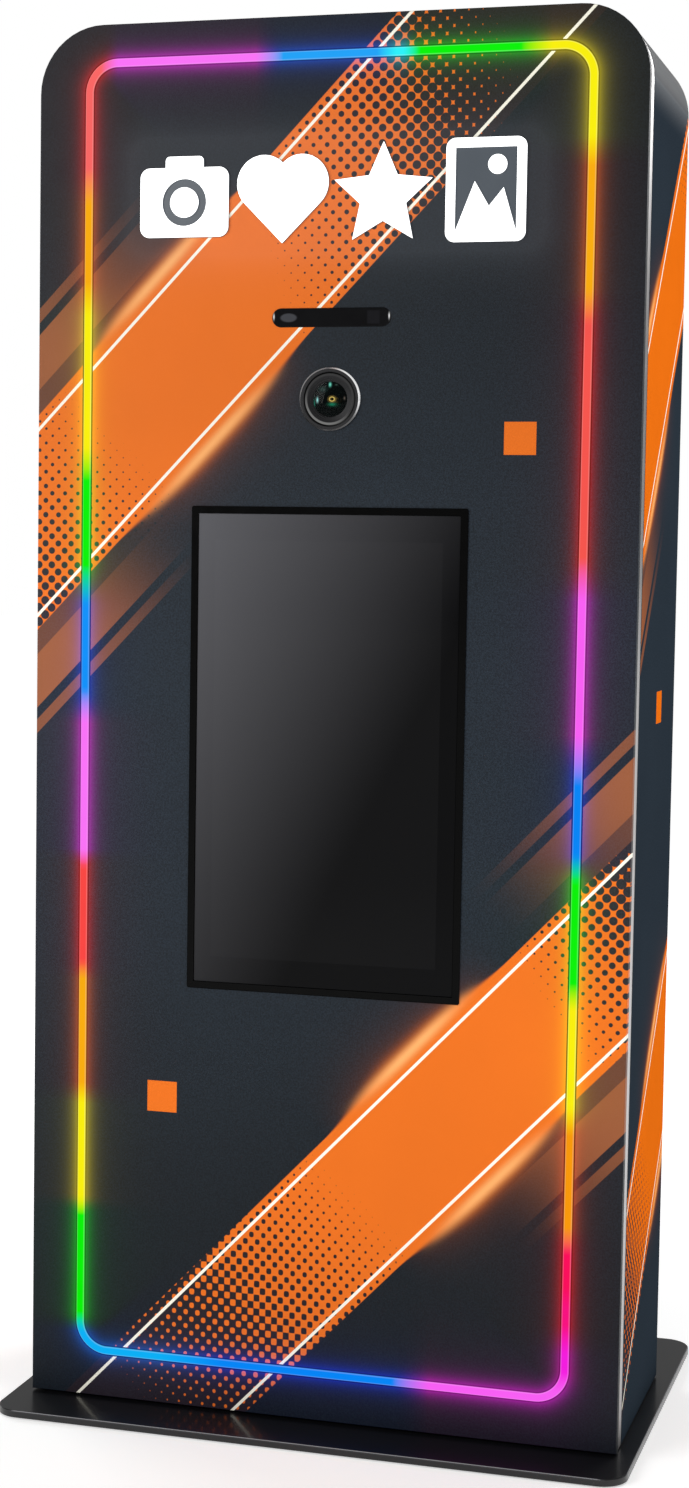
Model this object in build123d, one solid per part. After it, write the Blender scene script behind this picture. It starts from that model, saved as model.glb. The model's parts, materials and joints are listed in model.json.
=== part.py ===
from build123d import *
import os
from math import cos, sin, pi, radians

# A free-standing photo booth: a flat cabinet on a base plate, with a lit sign, a portrait touch screen,
# a camera behind a round lens opening and a locked service door at the back.
# Millimetres. +Z is up, the booth faces -Y, and the origin is on the floor under the base plate's middle.

# ---------------------------------------------------------------------------------------------------
# Driving sizes
# ---------------------------------------------------------------------------------------------------

# Base plate
base_side = 26
base_depth = 644
base_thickness = 10
base_corner = 38
base_bevel = 1.2
pad_thickness = 2
pad_radius = 30
pad_margin = 60
anchor_spacing_x = 700
anchor_spacing_y = 180
anchor_radius = 5.5
anchor_centre_y = -35
bolt_radius = 4
bolt_head = 7
bolt_head_tall = 4
bolt_sink = 5
bolt_tip = 8

# Cabinet outline
cabinet_width = 876
cabinet_height = 1985
cabinet_depth = 360
cabinet_corner = 95
front_overhang = 92
shadow_gap = 3

# Cabinet walls
board = 15
board_edge = 1
seal = 1.5
seal_inset = 3
trim_depth = 26
trim_wall = 3
trim_inset = 1
flange = 22
sheet = 2
shell_inset = 0.5
frame_angle = 40
frame_height = 50
frame_wall = 3
screw_radius = 2.5
screw_head = 5
screw_head_tall = 2.6
screw_socket = 1.6
screw_round = 1.2
screw_length = 12
screw_rows = 6

# Light frame
light_width = 12.6
light_side = 75.5
light_top = 54
light_bottom = 69
light_corner = 42
light_proud = 1.5
channel_wall = 1.2
channel_depth = 11
strip_width = 10
strip_thickness = 1.6

# Sign
sign_height = 1756
sign_pitch = 145
sign_size = 156
sign_proud = 4
sign_groove = 3
sign_margin = 12
tray_depth = 30
tray_wall = 1.5

# Sensor window
sensor_height = 1586
sensor_width = 172
sensor_tall = 26
sensor_ledge = 5
window_thickness = 4
window_proud = 1
eye_x = -62
eye_radius = 6
emitter_x = 61
emitter_size = 18
emitter_tall = 8
sensor_circuit_edge = (10, 7)
sensor_circuit = 2
sensor_plug = 20
sensor_plug_deep = 10

# Lens and camera
lens_height = 1473
ring_outer = 44
ring_inner = 37.5
ring_proud = 5
ring_sleeve = 41
sleeve_wall = 2
nose_radius = 36
nose_length = 6
nose_proud = 3
barrel_radius = 33
barrel_wall = 4
iris_radius = 7
element_radius = 24.6
focus_radius = 37
zoom_radius = 38
camera_length = 92
body_width = 136
body_tall = 92
body_depth = 58
cradle_sheet = 4
cradle_space = 12
cheek_gap = 2
cheek_sheet = 3
cheek_half_tall = 66
cheek_edge = 24
barrel_gap = 8
tilt_limit = 10
slot_radius_front = 112
slot_radius_rear = 150
stud_radius = 4
knob_radius = 18
knob_length = 14
knob_lobes = 8
knob_dent = 5
dial_radius = 10
dial_tall = 8
dial_post = 4
dial_post_deep = 5
dial_notches = 24
dial_x = 46
button_radius = 5.5
button_x = -52
button_travel = 1.5
button_well = 4
focus_place = 24
focus_length = 24
zoom_place = 54
zoom_length = 26
focus_ribs = 40
zoom_ribs = 32
rib_groove = 2
rib_deep = 0.9
rib_margin = 4

# Touch screen
screen_width = 403
screen_tall = 691
screen_bottom = 632
bezel = 10
bezel_proud = 2.5
bezel_lip = 3
glass_thickness = 4
panel_side_border = 7.2
panel_end_border = 19.2
panel_thickness = 11
panel_ledge = 8
housing_depth = 57
housing_wall = 1.5
housing_vents = 9
housing_vent = (160, 4)
housing_vent_pitch = 9
housing_vent_rise = 200
driver_size = (180, 120)
driver_drop = 60
circuit_thickness = 1.6
spacer_radius = 3
spacer_inset = 8
spacer_length = 10

# Inner frame and shelf
rail_centre = 240
rail_width = 30
rail_depth = 25
rail_low = 62
rail_high = 1640
bar_thickness = 3
bar_half_tall = 20
bar_overhang = 10
bar_heights = (-220, 120)
shelf_height = 430
shelf_depth = 230
shelf_lip = 20
angle_leg = 25

# Equipment
computer_size = (240, 190, 60)
computer_x = -250
computer_edge = 8
supply_size = (180, 110, 45)
supply_x = 20
supply_edge = 2
controller_size = (90, 70, 26)
controller_x = 225
controller_edge = 4
case_margin = 20
cable_radius = 3.5
mains_bend = 8
picture_bend = 20
lamp_bend = 40

# Rear panel and door
panel_sheet = 3
door_width = 720
door_tall = 1640
door_bottom = 260
door_corner = 14
door_gap = 2.5
door_return = 20
stop_lip = 14
stop_depth = 30
seal_width = 9
hinge_length = 80
hinge_leaf = 32
leaf_thickness = 2
knuckle_radius = 4.5
pin_radius = 2
hinge_count = 3
hinge_from_end = 140
lock_inset = 32
lock_spread = 900
lock_radius = 9
lock_head = 11
plug_radius = 5
cam_length = 26
cam_width = 16
cam_thickness = 3
cam_gap = 2
cam_heel = 8
cam_round = 4
lock_head_tall = 3
key_slot = (1.4, 7, 6)
fan_size = 120
fan_depth = 25
fan_height = 1700
fan_hub = 20
fan_wall = 3
fan_arm = 5
fan_arm_deep = 3
fan_blades = 7
blade_pitch = 35
blade_chord = 22
blade_thickness = 1.8
blade_gap = 2.5
vent_rows = 9
vent_tall = 5
vent_pitch = 12
low_vent_rows = 12
low_vent_pitch = 14
low_vent_rise = 170

# Mains inlet
inlet_x = 250
inlet_height = 140
inlet_width = 50
inlet_tall = 60
inlet_depth = 37
inlet_flange = 2.5
inlet_lip = 4
contact_spread = 7
contact_half = (1, 2)
contact_set_in = 5
socket_half_wide = 12.3
socket_half_tall = 8.4
socket_depth = 18
socket_drop = 16
drawer_rise = 5
drawer_half_wide = 12.7
drawer_half_tall = 4.5
drawer_depth = 20.5
rocker_rise = 20
rocker_half_wide = 9.6
rocker_half_tall = 6.4
rocker_swing = 14
rocker_pocket = (11, 16)
rocker_pivot_deep = 6
rocker_back = 4
rocker_dish = 36
rocker_dish_deep = 1.4

# Clearances
running = 0.05
fit = 0.3

# ---------------------------------------------------------------------------------------------------
# Places worked out from the sizes
# ---------------------------------------------------------------------------------------------------

base_width = cabinet_width + 2 * base_side
plate_top = pad_thickness + base_thickness
body_low = plate_top + shadow_gap
body_high = body_low + cabinet_height
front_y = front_overhang - base_depth / 2
back_y = front_y + cabinet_depth
board_back = front_y + board
trim_front = board_back + seal
trim_back = trim_front + trim_depth
shell_front = trim_back + seal
panel_front = back_y - panel_sheet
inner_x = cabinet_width / 2 - shell_inset - sheet
seam_height = body_high - cabinet_corner
screen_middle = screen_bottom + screen_tall / 2
door_middle = door_bottom + door_tall / 2
hinge_x = door_width / 2 - door_gap / 2
hinge_y = back_y + knuckle_radius + fit
stop_y = back_y - stop_depth
lock_x = lock_inset - door_width / 2
pivot = Vector(0, front_y, lens_height)


# ---------------------------------------------------------------------------------------------------
# Shape helpers
# ---------------------------------------------------------------------------------------------------

def block(x, y, z):
    """A box between the low and high ends that x, y and z each give."""
    spans = (x, y, z)
    centre = [(low + high) / 2 for low, high in spans]
    size = [high - low for low, high in spans]
    return Pos(*centre) * Box(*size)


def rod(radius, start, end):
    """A round bar between two points."""
    path = Vector(*end) - Vector(*start)
    return Solid.make_cylinder(radius, path.length, Plane(origin=start, z_dir=path))


def slab(outline, y_front, y_back):
    """An outline, drawn as seen from the front, made thick from y_front to y_back."""
    return extrude(Plane.XZ.offset(-y_back) * outline, amount=y_back - y_front)


def arch(inset, bottom_inset=0.0):
    """The cabinet's front outline shrunk by an inset: square at the bottom, round at the top."""
    low = body_low + bottom_inset
    high = body_high - inset
    outline = Pos(0, (low + high) / 2) * Rectangle(cabinet_width - 2 * inset, high - low)
    top = outline.vertices().group_by(Axis.Y)[-1]
    return fillet(top, cabinet_corner - inset)


def hoop(outer_inset, inner_inset, y_front, y_back):
    """A band round the cabinet's sides and top, open at the bottom."""
    return slab(arch(outer_inset), y_front, y_back) - slab(arch(inner_inset, -sheet), y_front, y_back)


def closed_hoop(outer_inset, inner_inset, y_front, y_back):
    """A band round the cabinet's whole outline, with a bottom run."""
    hole = arch(inner_inset, inner_inset - outer_inset)
    return slab(arch(outer_inset), y_front, y_back) - slab(hole, y_front, y_back)


def window(width, tall, middle, corner=0.0):
    """A rectangle on the cabinet's middle line, with square or round corners."""
    if corner > 0:
        return Pos(0, middle) * RectangleRounded(width, tall, corner)
    return Pos(0, middle) * Rectangle(width, tall)


def turned(profile_points, axis_origin):
    """A body of revolution about an axis along Y: each point is (radius, y)."""
    corners = [(radius, y - axis_origin.Y) for radius, y in profile_points]
    profile = Plane.XY * make_face(Polyline(*corners, close=True))
    return Pos(axis_origin) * revolve(profile, Axis.Y, 360)


def save(name, *solids):
    """One STEP file for a named piece, or for a group of identical pieces."""
    shape = solids[0] if len(solids) == 1 else Compound(children=list(solids))
    export_step(shape, f"parts/{name}.step")


# ---------------------------------------------------------------------------------------------------
# Base
# ---------------------------------------------------------------------------------------------------

def anchor_points():
    """Where the floor anchors pass through the base plate, inside the cabinet."""
    return [(x * anchor_spacing_x / 2, anchor_centre_y + y * anchor_spacing_y / 2)
            for x in (-1, 1) for y in (-1, 1)]


def base_bolt_points():
    """Bolts from under the plate into the cabinet's bottom frame."""
    middle_y = (shell_front + panel_front) / 2
    side_x = inner_x - frame_angle / 2
    front = shell_front + sheet + frame_angle / 2
    rear = panel_front - sheet - frame_angle / 2
    return [(x * side_x, y) for x in (-1, 1) for y in (front, middle_y, rear)]


def base_plate():
    plate = extrude(RectangleRounded(base_width, base_depth, base_corner), amount=base_thickness)
    plate = chamfer(plate.faces().sort_by(Axis.Z)[-1].outer_wire().edges(), base_bevel)
    plate = Pos(0, 0, pad_thickness) * plate
    for x, y in anchor_points():
        plate -= rod(anchor_radius, (x, y, 0), (x, y, plate_top + 1))
    for x, y in base_bolt_points():
        plate -= rod(bolt_radius + fit, (x, y, 0), (x, y, plate_top + 1))
        plate -= rod(bolt_head + fit, (x, y, 0), (x, y, pad_thickness + bolt_sink))
    return plate


def base_bolt(x, y):
    """A flat-headed bolt sunk in the plate's underside, with its tip above the bottom frame."""
    head_top = pad_thickness + bolt_sink
    head = rod(bolt_head, (x, y, head_top - bolt_head_tall), (x, y, head_top))
    return head + rod(bolt_radius, (x, y, head_top), (x, y, plate_top + frame_wall + bolt_tip))


def floor_pads():
    """Thin rubber discs that keep the steel off the floor."""
    far_x = base_width / 2 - pad_margin
    far_y = base_depth / 2 - pad_margin
    return [rod(pad_radius, (x * far_x, y * far_y, 0), (x * far_x, y * far_y, pad_thickness))
            for x in (-1, 0, 1) for y in (-1, 1)]


def bottom_frame():
    """A welded angle frame: one leg on the base plate, one leg up inside the cabinet walls."""
    front = shell_front + sheet
    rear = panel_front - sheet
    outside = block((-inner_x, inner_x), (front, rear), (plate_top, plate_top + frame_height))
    foot_hole = block((-inner_x + frame_angle, inner_x - frame_angle),
                      (front + frame_angle, rear - frame_angle), (plate_top, plate_top + frame_wall))
    room = block((-inner_x + frame_wall, inner_x - frame_wall), (front + frame_wall, rear - frame_wall),
                 (plate_top + frame_wall, plate_top + frame_height))
    frame = outside - room - foot_hole
    for x, y in base_bolt_points():
        frame -= rod(bolt_radius + fit, (x, y, plate_top), (x, y, plate_top + frame_wall))
    return frame


# ---------------------------------------------------------------------------------------------------
# Cabinet shell
# ---------------------------------------------------------------------------------------------------

def rear_screw_points():
    """Screws round the rear panel's edge, over the shell's rear flange."""
    side = inner_x - flange / 2
    top = body_high - shell_inset - sheet - flange / 2
    pitch = (seam_height - body_low - 2 * frame_height) / (screw_rows - 1)
    heights = [body_low + frame_height + pitch * row for row in range(screw_rows)]
    along_top = [x * (inner_x - cabinet_corner) for x in (-1, -0.33, 0.33, 1)]
    return [(x * side, z) for x in (-1, 1) for z in heights] + [(x, top) for x in along_top]


def shell():
    """The folded sheet round the sides and top, with a flange at the front and one set in at the rear."""
    skin = hoop(shell_inset, shell_inset + sheet, shell_front, back_y)
    inner = shell_inset + sheet
    front_flange = hoop(inner, inner + flange, shell_front, shell_front + sheet)
    rear_flange = hoop(inner, inner + flange, panel_front - sheet, panel_front)
    body = skin + front_flange + rear_flange
    for x, z in rear_screw_points():
        body -= rod(screw_radius + fit, (x, panel_front - sheet, z), (x, panel_front, z))
    return body


def shell_cut(x, z):
    """The stretch of the shell between two x and two z values."""
    return shell() & block(x, (front_y, back_y), z)


def top_panel():
    return shell_cut((-cabinet_width, cabinet_width), (seam_height, body_high + 1))


def side_panel(side):
    """A flat cabinet side: -1 is the left one and 1 the right one, seen from the front."""
    span = sorted((side * sheet, side * cabinet_width))
    return shell_cut(span, (0, seam_height))


def rear_screw(x, z):
    head = rod(screw_head, (x, back_y, z), (x, back_y + screw_head_tall, z))
    head = fillet(head.faces().sort_by(Axis.Y)[-1].edges(), screw_round)
    outer = back_y + screw_head_tall
    socket = rod(screw_socket, (x, outer - screw_socket, z), (x, outer, z))
    return head - socket + rod(screw_radius, (x, back_y - screw_length, z), (x, back_y, z))


def edge_trim():
    """The bare aluminium channel behind the front board, open to the inside."""
    skin = closed_hoop(trim_inset, trim_inset + trim_wall, trim_front, trim_back)
    front_web = closed_hoop(trim_inset, trim_inset + flange, trim_front, trim_front + trim_wall)
    rear_web = closed_hoop(trim_inset, trim_inset + flange, trim_back - trim_wall, trim_back)
    return skin + front_web + rear_web


def trim_seals():
    """Thin black foam strips before and behind the aluminium trim, set in to leave shadow lines."""
    front = closed_hoop(seal_inset, flange, board_back, trim_front)
    rear = hoop(seal_inset, flange, trim_back, shell_front)
    return front, rear


# ---------------------------------------------------------------------------------------------------
# Light frame
# ---------------------------------------------------------------------------------------------------

def light_ring(width, y_front, y_back):
    """A ring of the given width along the light frame's middle line."""
    line_width = cabinet_width - 2 * light_side
    low = body_low + light_bottom
    high = body_high - light_top
    middle = (low + high) / 2
    outer = RectangleRounded(line_width + width, high - low + width, light_corner + width / 2)
    inner = RectangleRounded(line_width - width, high - low - width, light_corner - width / 2)
    return slab(Pos(0, middle) * (outer - inner), y_front, y_back)


def led_channel():
    outer = light_width + 2 * (running + channel_wall)
    body = light_ring(outer, front_y, front_y + channel_depth)
    return body - light_ring(light_width + 2 * running, front_y, front_y + channel_depth - channel_wall)


def led_strip():
    floor = front_y + channel_depth - channel_wall
    return light_ring(strip_width, floor - strip_thickness, floor)


def led_diffuser():
    """The opal bar that hides the diodes, hollow behind, with a round face a little proud of the board."""
    face = front_y - light_proud
    back = front_y + channel_depth - channel_wall - strip_thickness - fit
    body = light_ring(light_width, face, back)
    body = fillet(body.faces().sort_by(Axis.Y)[0].edges(), light_proud + 1.5)
    return body - light_ring(strip_width, face + light_proud + 3, back)


# ---------------------------------------------------------------------------------------------------
# Sign
# ---------------------------------------------------------------------------------------------------

def star_sign():
    """A five-pointed star with nothing cut into it: every sign gives its outline and its cut."""
    points = 5
    tip = sign_size * 0.47
    notch = tip * 0.47
    corners = []
    for step in range(2 * points):
        reach = tip if step % 2 == 0 else notch
        turn = pi / 2 + step * pi / points
        corners.append((reach * cos(turn), reach * sin(turn)))
    return Pos(0, -sign_size * 0.03) * make_face(Polyline(*corners, close=True)), None


def heart_sign():
    """A square stood on its corner with a half disc on each upper side."""
    side = sign_size * 0.5
    lobe = side / 2
    shift = lobe / 2 ** 0.5
    square = Rot(Z=45) * Rectangle(side, side)
    lobes = Pos(-shift, shift) * Circle(lobe) + Pos(shift, shift) * Circle(lobe)
    return Pos(0, -lobe * 0.3) * (square + lobes), None


def camera_sign():
    """A camera seen from the front: body and raised finder, with a ring cut in for the lens."""
    body = RectangleRounded(sign_size * 0.84, sign_size * 0.62, sign_size * 0.09)
    finder = Pos(0, sign_size * 0.33) * RectangleRounded(sign_size * 0.36, sign_size * 0.16, sign_size * 0.04)
    ring = Circle(sign_size * 0.21) - Circle(sign_size * 0.135)
    place = Pos(0, -sign_size * 0.05)
    return place * (body + finder), place * ring


def picture_sign():
    """A framed picture: the ground round two hills and a sun is cut in."""
    wide = sign_size * 0.72
    tall = sign_size * 0.9
    bar = sign_size * 0.085
    foot = -tall / 2 + bar
    hills = make_face(Polyline((-wide / 2 + bar, foot), (wide / 2 - bar, foot), (wide * 0.22, wide * 0.02),
                               (wide * 0.04, -wide * 0.2), (-wide * 0.14, wide * 0.1), close=True))
    sun = Pos(wide * 0.14, tall * 0.24) * Circle(bar)
    ground = Rectangle(wide - 2 * bar, tall - 2 * bar) - hills - sun
    return RectangleRounded(wide, tall, bar), ground


def signs():
    """The four signs in a row, in the middle of the sign area, as pairs of outline and cut."""
    pairs = (camera_sign(), heart_sign(), star_sign(), picture_sign())
    first = -sign_pitch * (len(pairs) - 1) / 2
    placed = []
    for index, (outline, cut) in enumerate(pairs):
        place = Pos(first + index * sign_pitch, sign_height)
        placed.append((place * outline, None if cut is None else place * cut))
    return placed


def sign_symbols():
    """Solid acrylic symbols that stand through the front board, with their backs in the light tray."""
    solids = []
    face = front_y - sign_proud
    for outline, cut in signs():
        symbol = slab(outline, face, board_back)
        if cut is not None:
            symbol -= slab(cut, face, face + sign_groove)
        solids.append(symbol)
    return solids


def sign_tray():
    """The light box behind the sign, open to the front."""
    wide = sign_pitch * 3 + sign_size + 2 * sign_margin
    tall = sign_size + 2 * sign_margin
    outer = slab(window(wide, tall, sign_height), board_back, board_back + tray_depth)
    inner = slab(window(wide - 2 * tray_wall, tall - 2 * tray_wall, sign_height),
                 board_back, board_back + tray_depth - tray_wall)
    return outer - inner


def sign_led_board():
    wide = sign_pitch * 3 + sign_size
    back = board_back + tray_depth - tray_wall
    return slab(window(wide, sign_size, sign_height), back - strip_thickness, back)


# ---------------------------------------------------------------------------------------------------
# Front board
# ---------------------------------------------------------------------------------------------------

def pill(wide, tall):
    return Pos(0, sensor_height) * SlotOverall(wide, tall)


def front_fascia():
    """The routed front board: grooves and cut-outs take their sizes from the pieces they hold."""
    body = slab(arch(0), front_y, board_back)
    body = chamfer(body.faces().sort_by(Axis.Y)[0].outer_wire().edges(), board_edge)
    groove = light_width + 2 * (running + channel_wall + fit)
    body -= light_ring(groove, front_y, front_y + channel_depth)
    sleeve_edge = fit - bezel_lip
    hole = window(screen_width + 2 * sleeve_edge, screen_tall + 2 * sleeve_edge, screen_middle)
    body -= slab(hole, front_y, board_back)
    for outline, _ in signs():
        body -= slab(offset(outline, fit, kind=Kind.INTERSECTION), front_y, board_back)
    body -= slab(pill(sensor_width + 2 * fit, sensor_tall + 2 * fit),
                 front_y, front_y + window_thickness - window_proud)
    body -= slab(pill(sensor_width - 2 * sensor_ledge, sensor_tall - 2 * sensor_ledge), front_y, board_back)
    body -= slab(Pos(0, lens_height) * Circle(ring_sleeve + fit), front_y, board_back)
    return body


# ---------------------------------------------------------------------------------------------------
# Touch screen
# ---------------------------------------------------------------------------------------------------

glass_width = screen_width - 2 * bezel - 2 * fit
glass_tall = screen_tall - 2 * bezel - 2 * fit
glass_front = front_y - 1
glass_back = glass_front + glass_thickness
housing_back = glass_back + housing_depth
panel_width = glass_width - 2 * panel_side_border
panel_tall = glass_tall - 2 * panel_end_border


def screen_bezel():
    """A black frame: a lip on the board's face and a sleeve through its cut-out."""
    lip = slab(window(screen_width, screen_tall, screen_middle, 3), front_y - bezel_proud, front_y)
    lip = chamfer(lip.faces().sort_by(Axis.Y)[0].edges(), 1)
    sleeve = slab(window(screen_width - 2 * bezel_lip, screen_tall - 2 * bezel_lip, screen_middle),
                  front_y, board_back)
    hole = window(screen_width - 2 * bezel, screen_tall - 2 * bezel, screen_middle)
    return lip + sleeve - slab(hole, front_y - bezel_proud, board_back)


def touch_glass():
    body = slab(window(glass_width, glass_tall, screen_middle), glass_front, glass_back)
    return chamfer(body.faces().sort_by(Axis.Y)[0].edges(), 0.5)


def display_panel():
    """The liquid-crystal module behind the touch glass."""
    front = glass_back + fit
    return slab(window(panel_width, panel_tall, screen_middle), front, front + panel_thickness)


def display_housing():
    """The steel tray that carries the glass on its rim and the panel on an inner ledge."""
    room_width = glass_width - 2 * housing_wall
    room_tall = glass_tall - 2 * housing_wall
    body = slab(window(glass_width, glass_tall, screen_middle), glass_back, housing_back)
    body -= slab(window(room_width, room_tall, screen_middle), glass_back, housing_back - housing_wall)
    ledge_y = glass_back + fit + panel_thickness
    ledge = window(room_width, room_tall, screen_middle)
    ledge -= window(panel_width - 2 * panel_ledge, panel_tall - 2 * panel_ledge, screen_middle)
    body += slab(ledge, ledge_y, ledge_y + housing_wall)
    first = screen_middle + housing_vent_rise - housing_vent_pitch * (housing_vents - 1) / 2
    for row in range(housing_vents):
        slot = window(*housing_vent, first + row * housing_vent_pitch)
        body -= slab(slot, housing_back - housing_wall, housing_back)
    return body


# Block-shaped parts on the driver board: x span, height off the board, and z span about its middle
driver_parts = [((-70, -20), 5.4, (-30, 20)), ((10, 60), 3.4, (-40, 30))]


def display_board():
    """The screen's driver board on its four spacers, inside the tray."""
    back = housing_back - housing_wall
    board_y = back - spacer_length
    face_y = board_y - circuit_thickness
    middle = screen_middle - driver_drop
    body = slab(window(*driver_size, middle), face_y, board_y)
    far_x = driver_size[0] / 2 - spacer_inset
    far_z = driver_size[1] / 2 - spacer_inset
    for x in (-far_x, far_x):
        for z in (middle - far_z, middle + far_z):
            body += rod(spacer_radius, (x, board_y, z), (x, back, z))
    for x, height, z in driver_parts:
        body += block(x, (face_y - height, face_y), (middle + z[0], middle + z[1]))
    return body


def support_rails():
    """Two upright channels on the back of the front board."""
    rails = []
    for side in (-1, 1):
        x = side * rail_centre
        body = block((x - rail_width / 2, x + rail_width / 2), (board_back, board_back + rail_depth),
                     (rail_low, rail_high))
        room = block((x - rail_width / 2 + sheet, x + rail_width / 2 - sheet),
                     (board_back, board_back + rail_depth - sheet), (rail_low, rail_high))
        rails.append(body - room)
    return rails


def screen_brackets():
    """Two cranked bars that hold the screen's tray to the rails."""
    bars = []
    rail_back = board_back + rail_depth
    reach = rail_centre + rail_width / 2
    crank = glass_width / 2 + bar_overhang
    bar_back = housing_back + bar_thickness
    for rise in bar_heights:
        z = (screen_middle + rise - bar_half_tall, screen_middle + rise + bar_half_tall)
        bar = block((-crank, crank), (housing_back, bar_back), z)
        for side in (-1, 1):
            x = sorted((side * (crank - bar_thickness), side * crank))
            bar += block(x, (rail_back, bar_back), z)
            x = sorted((side * (crank - bar_thickness), side * reach))
            bar += block(x, (rail_back, rail_back + bar_thickness), z)
        bars.append(bar)
    return bars


# ---------------------------------------------------------------------------------------------------
# Sensor window
# ---------------------------------------------------------------------------------------------------

def sensor_window():
    front = front_y - window_proud
    body = slab(pill(sensor_width, sensor_tall), front, front + window_thickness)
    return fillet(body.faces().sort_by(Axis.Y)[0].edges(), 0.8)


def sensor_board():
    """The board behind the window, with an infrared emitter block at its right end."""
    wide = sensor_width - 2 * sensor_ledge + 2 * sensor_circuit_edge[0]
    tall = sensor_tall + 2 * sensor_circuit_edge[1]
    circuit_back = board_back + sensor_circuit
    body = slab(window(wide, tall, sensor_height), board_back, circuit_back)
    half_tall = sensor_tall / 2 - sensor_ledge - 1
    body += block((emitter_x - emitter_size / 2, emitter_x + emitter_size / 2),
                  (board_back - emitter_tall, board_back), (sensor_height - half_tall, sensor_height + half_tall))
    plug = window(2 * sensor_plug, sensor_plug, sensor_height)
    return body + slab(plug, circuit_back, circuit_back + sensor_plug_deep)


def sensor_eye():
    """The small wide-angle eye at the window's left end."""
    front = front_y + window_thickness
    return rod(eye_radius, (eye_x, front, sensor_height), (eye_x, board_back, sensor_height))


# ---------------------------------------------------------------------------------------------------
# Camera and lens
# ---------------------------------------------------------------------------------------------------

nose_front = front_y - nose_proud
nose_back = nose_front + nose_length
flange_y = front_y + camera_length
body_back = flange_y + body_depth
focus_span = (front_y + focus_place, front_y + focus_place + focus_length)
zoom_span = (front_y + zoom_place, front_y + zoom_place + zoom_length)
cradle_half = body_width / 2 + cradle_space
cheek_x = cradle_half + cradle_sheet + cheek_gap
hump_tall = 16
body_low_z = lens_height - body_tall / 2
camera_top = body_low_z + body_tall - hump_tall
button_y = flange_y + 12
dial_y = flange_y + 26


def lens_trim_ring():
    """The ring round the lens hole: a rounded flange on the board's face and a sleeve through it."""
    front = front_y - ring_proud
    flange_ring = turned([(ring_inner, front + 1), (ring_inner + 1, front), (ring_outer - 2.5, front),
                          (ring_outer, front + 2.5), (ring_outer, front_y), (ring_inner, front_y)], pivot)
    sleeve = turned([(ring_sleeve - sleeve_wall, front_y), (ring_sleeve, front_y), (ring_sleeve, board_back),
                     (ring_sleeve - sleeve_wall, board_back)], pivot)
    return flange_ring + sleeve


def lens_front_ring():
    """The lens nose: a rim, then steps down to the front glass."""
    seat = element_radius + running
    return turned([(nose_radius - 0.8, nose_front), (nose_radius, nose_front + 0.8), (nose_radius, nose_back),
                   (seat, nose_back), (seat, nose_front + 3.6), (seat + 2.4, nose_front + 3.2),
                   (seat + 2.4, nose_front + 2.2), (seat + 5.2, nose_front + 1.8),
                   (seat + 5.2, nose_front + 1), (nose_radius - 3, nose_front)], pivot)


def front_element():
    """The front glass, domed outwards, held in the nose."""
    edge = nose_front + 4
    dome = 2.6
    sphere_radius = (element_radius ** 2 + dome ** 2) / (2 * dome)
    body = rod(element_radius, (0, edge - dome, lens_height), (0, nose_back + 1, lens_height))
    centre_y = edge - dome + sphere_radius
    return body & (Pos(0, centre_y, lens_height) * Sphere(sphere_radius))


def lens_barrel():
    """The lens tube: a shoulder behind the front glass, and an iris part of the way down."""
    inner = barrel_radius - barrel_wall
    seat = element_radius + running
    shoulder = element_radius - 1.5
    iris_y = front_y + 30
    return turned([(seat, nose_back), (barrel_radius, nose_back), (barrel_radius, flange_y),
                   (inner, flange_y), (inner, iris_y + 3), (iris_radius, iris_y + 3), (iris_radius, iris_y),
                   (inner, iris_y),
                   (inner, nose_back + 2.5), (shoulder, nose_back + 2.5), (shoulder, nose_back + 1),
                   (seat, nose_back + 1)], pivot)


def grip_ring(radius, span, ribs):
    """A rubber ring that turns on the barrel, with finger ribs cut along it."""
    low, high = span
    inner = barrel_radius + running
    ring = turned([(inner, low), (radius - 1, low), (radius, low + 1), (radius, high - 1),
                   (radius - 1, high), (inner, high)], pivot)
    groove = block((-rib_groove / 2, rib_groove / 2), (low + rib_margin, high - rib_margin),
                   (radius - rib_deep, radius + 1))
    for step in range(ribs):
        ring -= Pos(0, 0, lens_height) * (Rot(Y=step * 360 / ribs) * groove)
    return ring


def camera_body():
    """A small camera: rounded body, finder hump, hand grip and the mount opening at the front."""
    half = body_width / 2
    top = camera_top
    body = block((-half, half), (flange_y, body_back), (body_low_z, top))
    body = fillet(body.edges().filter_by(Axis.Z), 9)
    body = fillet(body.faces().sort_by(Axis.Z)[-1].edges(), 3)
    hump = block((-24, 24), (flange_y + 4, body_back - 4), (top - 6, top + hump_tall))
    hump = fillet(hump.faces().sort_by(Axis.Z)[-1].edges(), 6)
    grip = block((-half, -half + 26), (flange_y - 16, flange_y + 12), (body_low_z + 4, top - 6))
    grip = fillet(grip.edges().filter_by(Axis.Z), 7)
    body = body + hump + grip
    body -= rod(barrel_radius - barrel_wall, (0, flange_y - 1, lens_height), (0, flange_y + 14, lens_height))
    body -= rod(button_radius + fit, (button_x, button_y, top - button_well), (button_x, button_y, top + 1))
    body -= rod(dial_post + running, (dial_x, dial_y, top - dial_post_deep - 1), (dial_x, dial_y, top + 1))
    screen = block((-38, 38), (body_back - 1, body_back), (body_low_z + 10, top - 8))
    return body - screen


def shutter_button():
    """The release: a round cap that stands proud by its travel and a little more."""
    low = camera_top - button_well + button_travel + fit
    high = camera_top + button_travel + fit
    return rod(button_radius, (button_x, button_y, low), (button_x, button_y, high))


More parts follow.
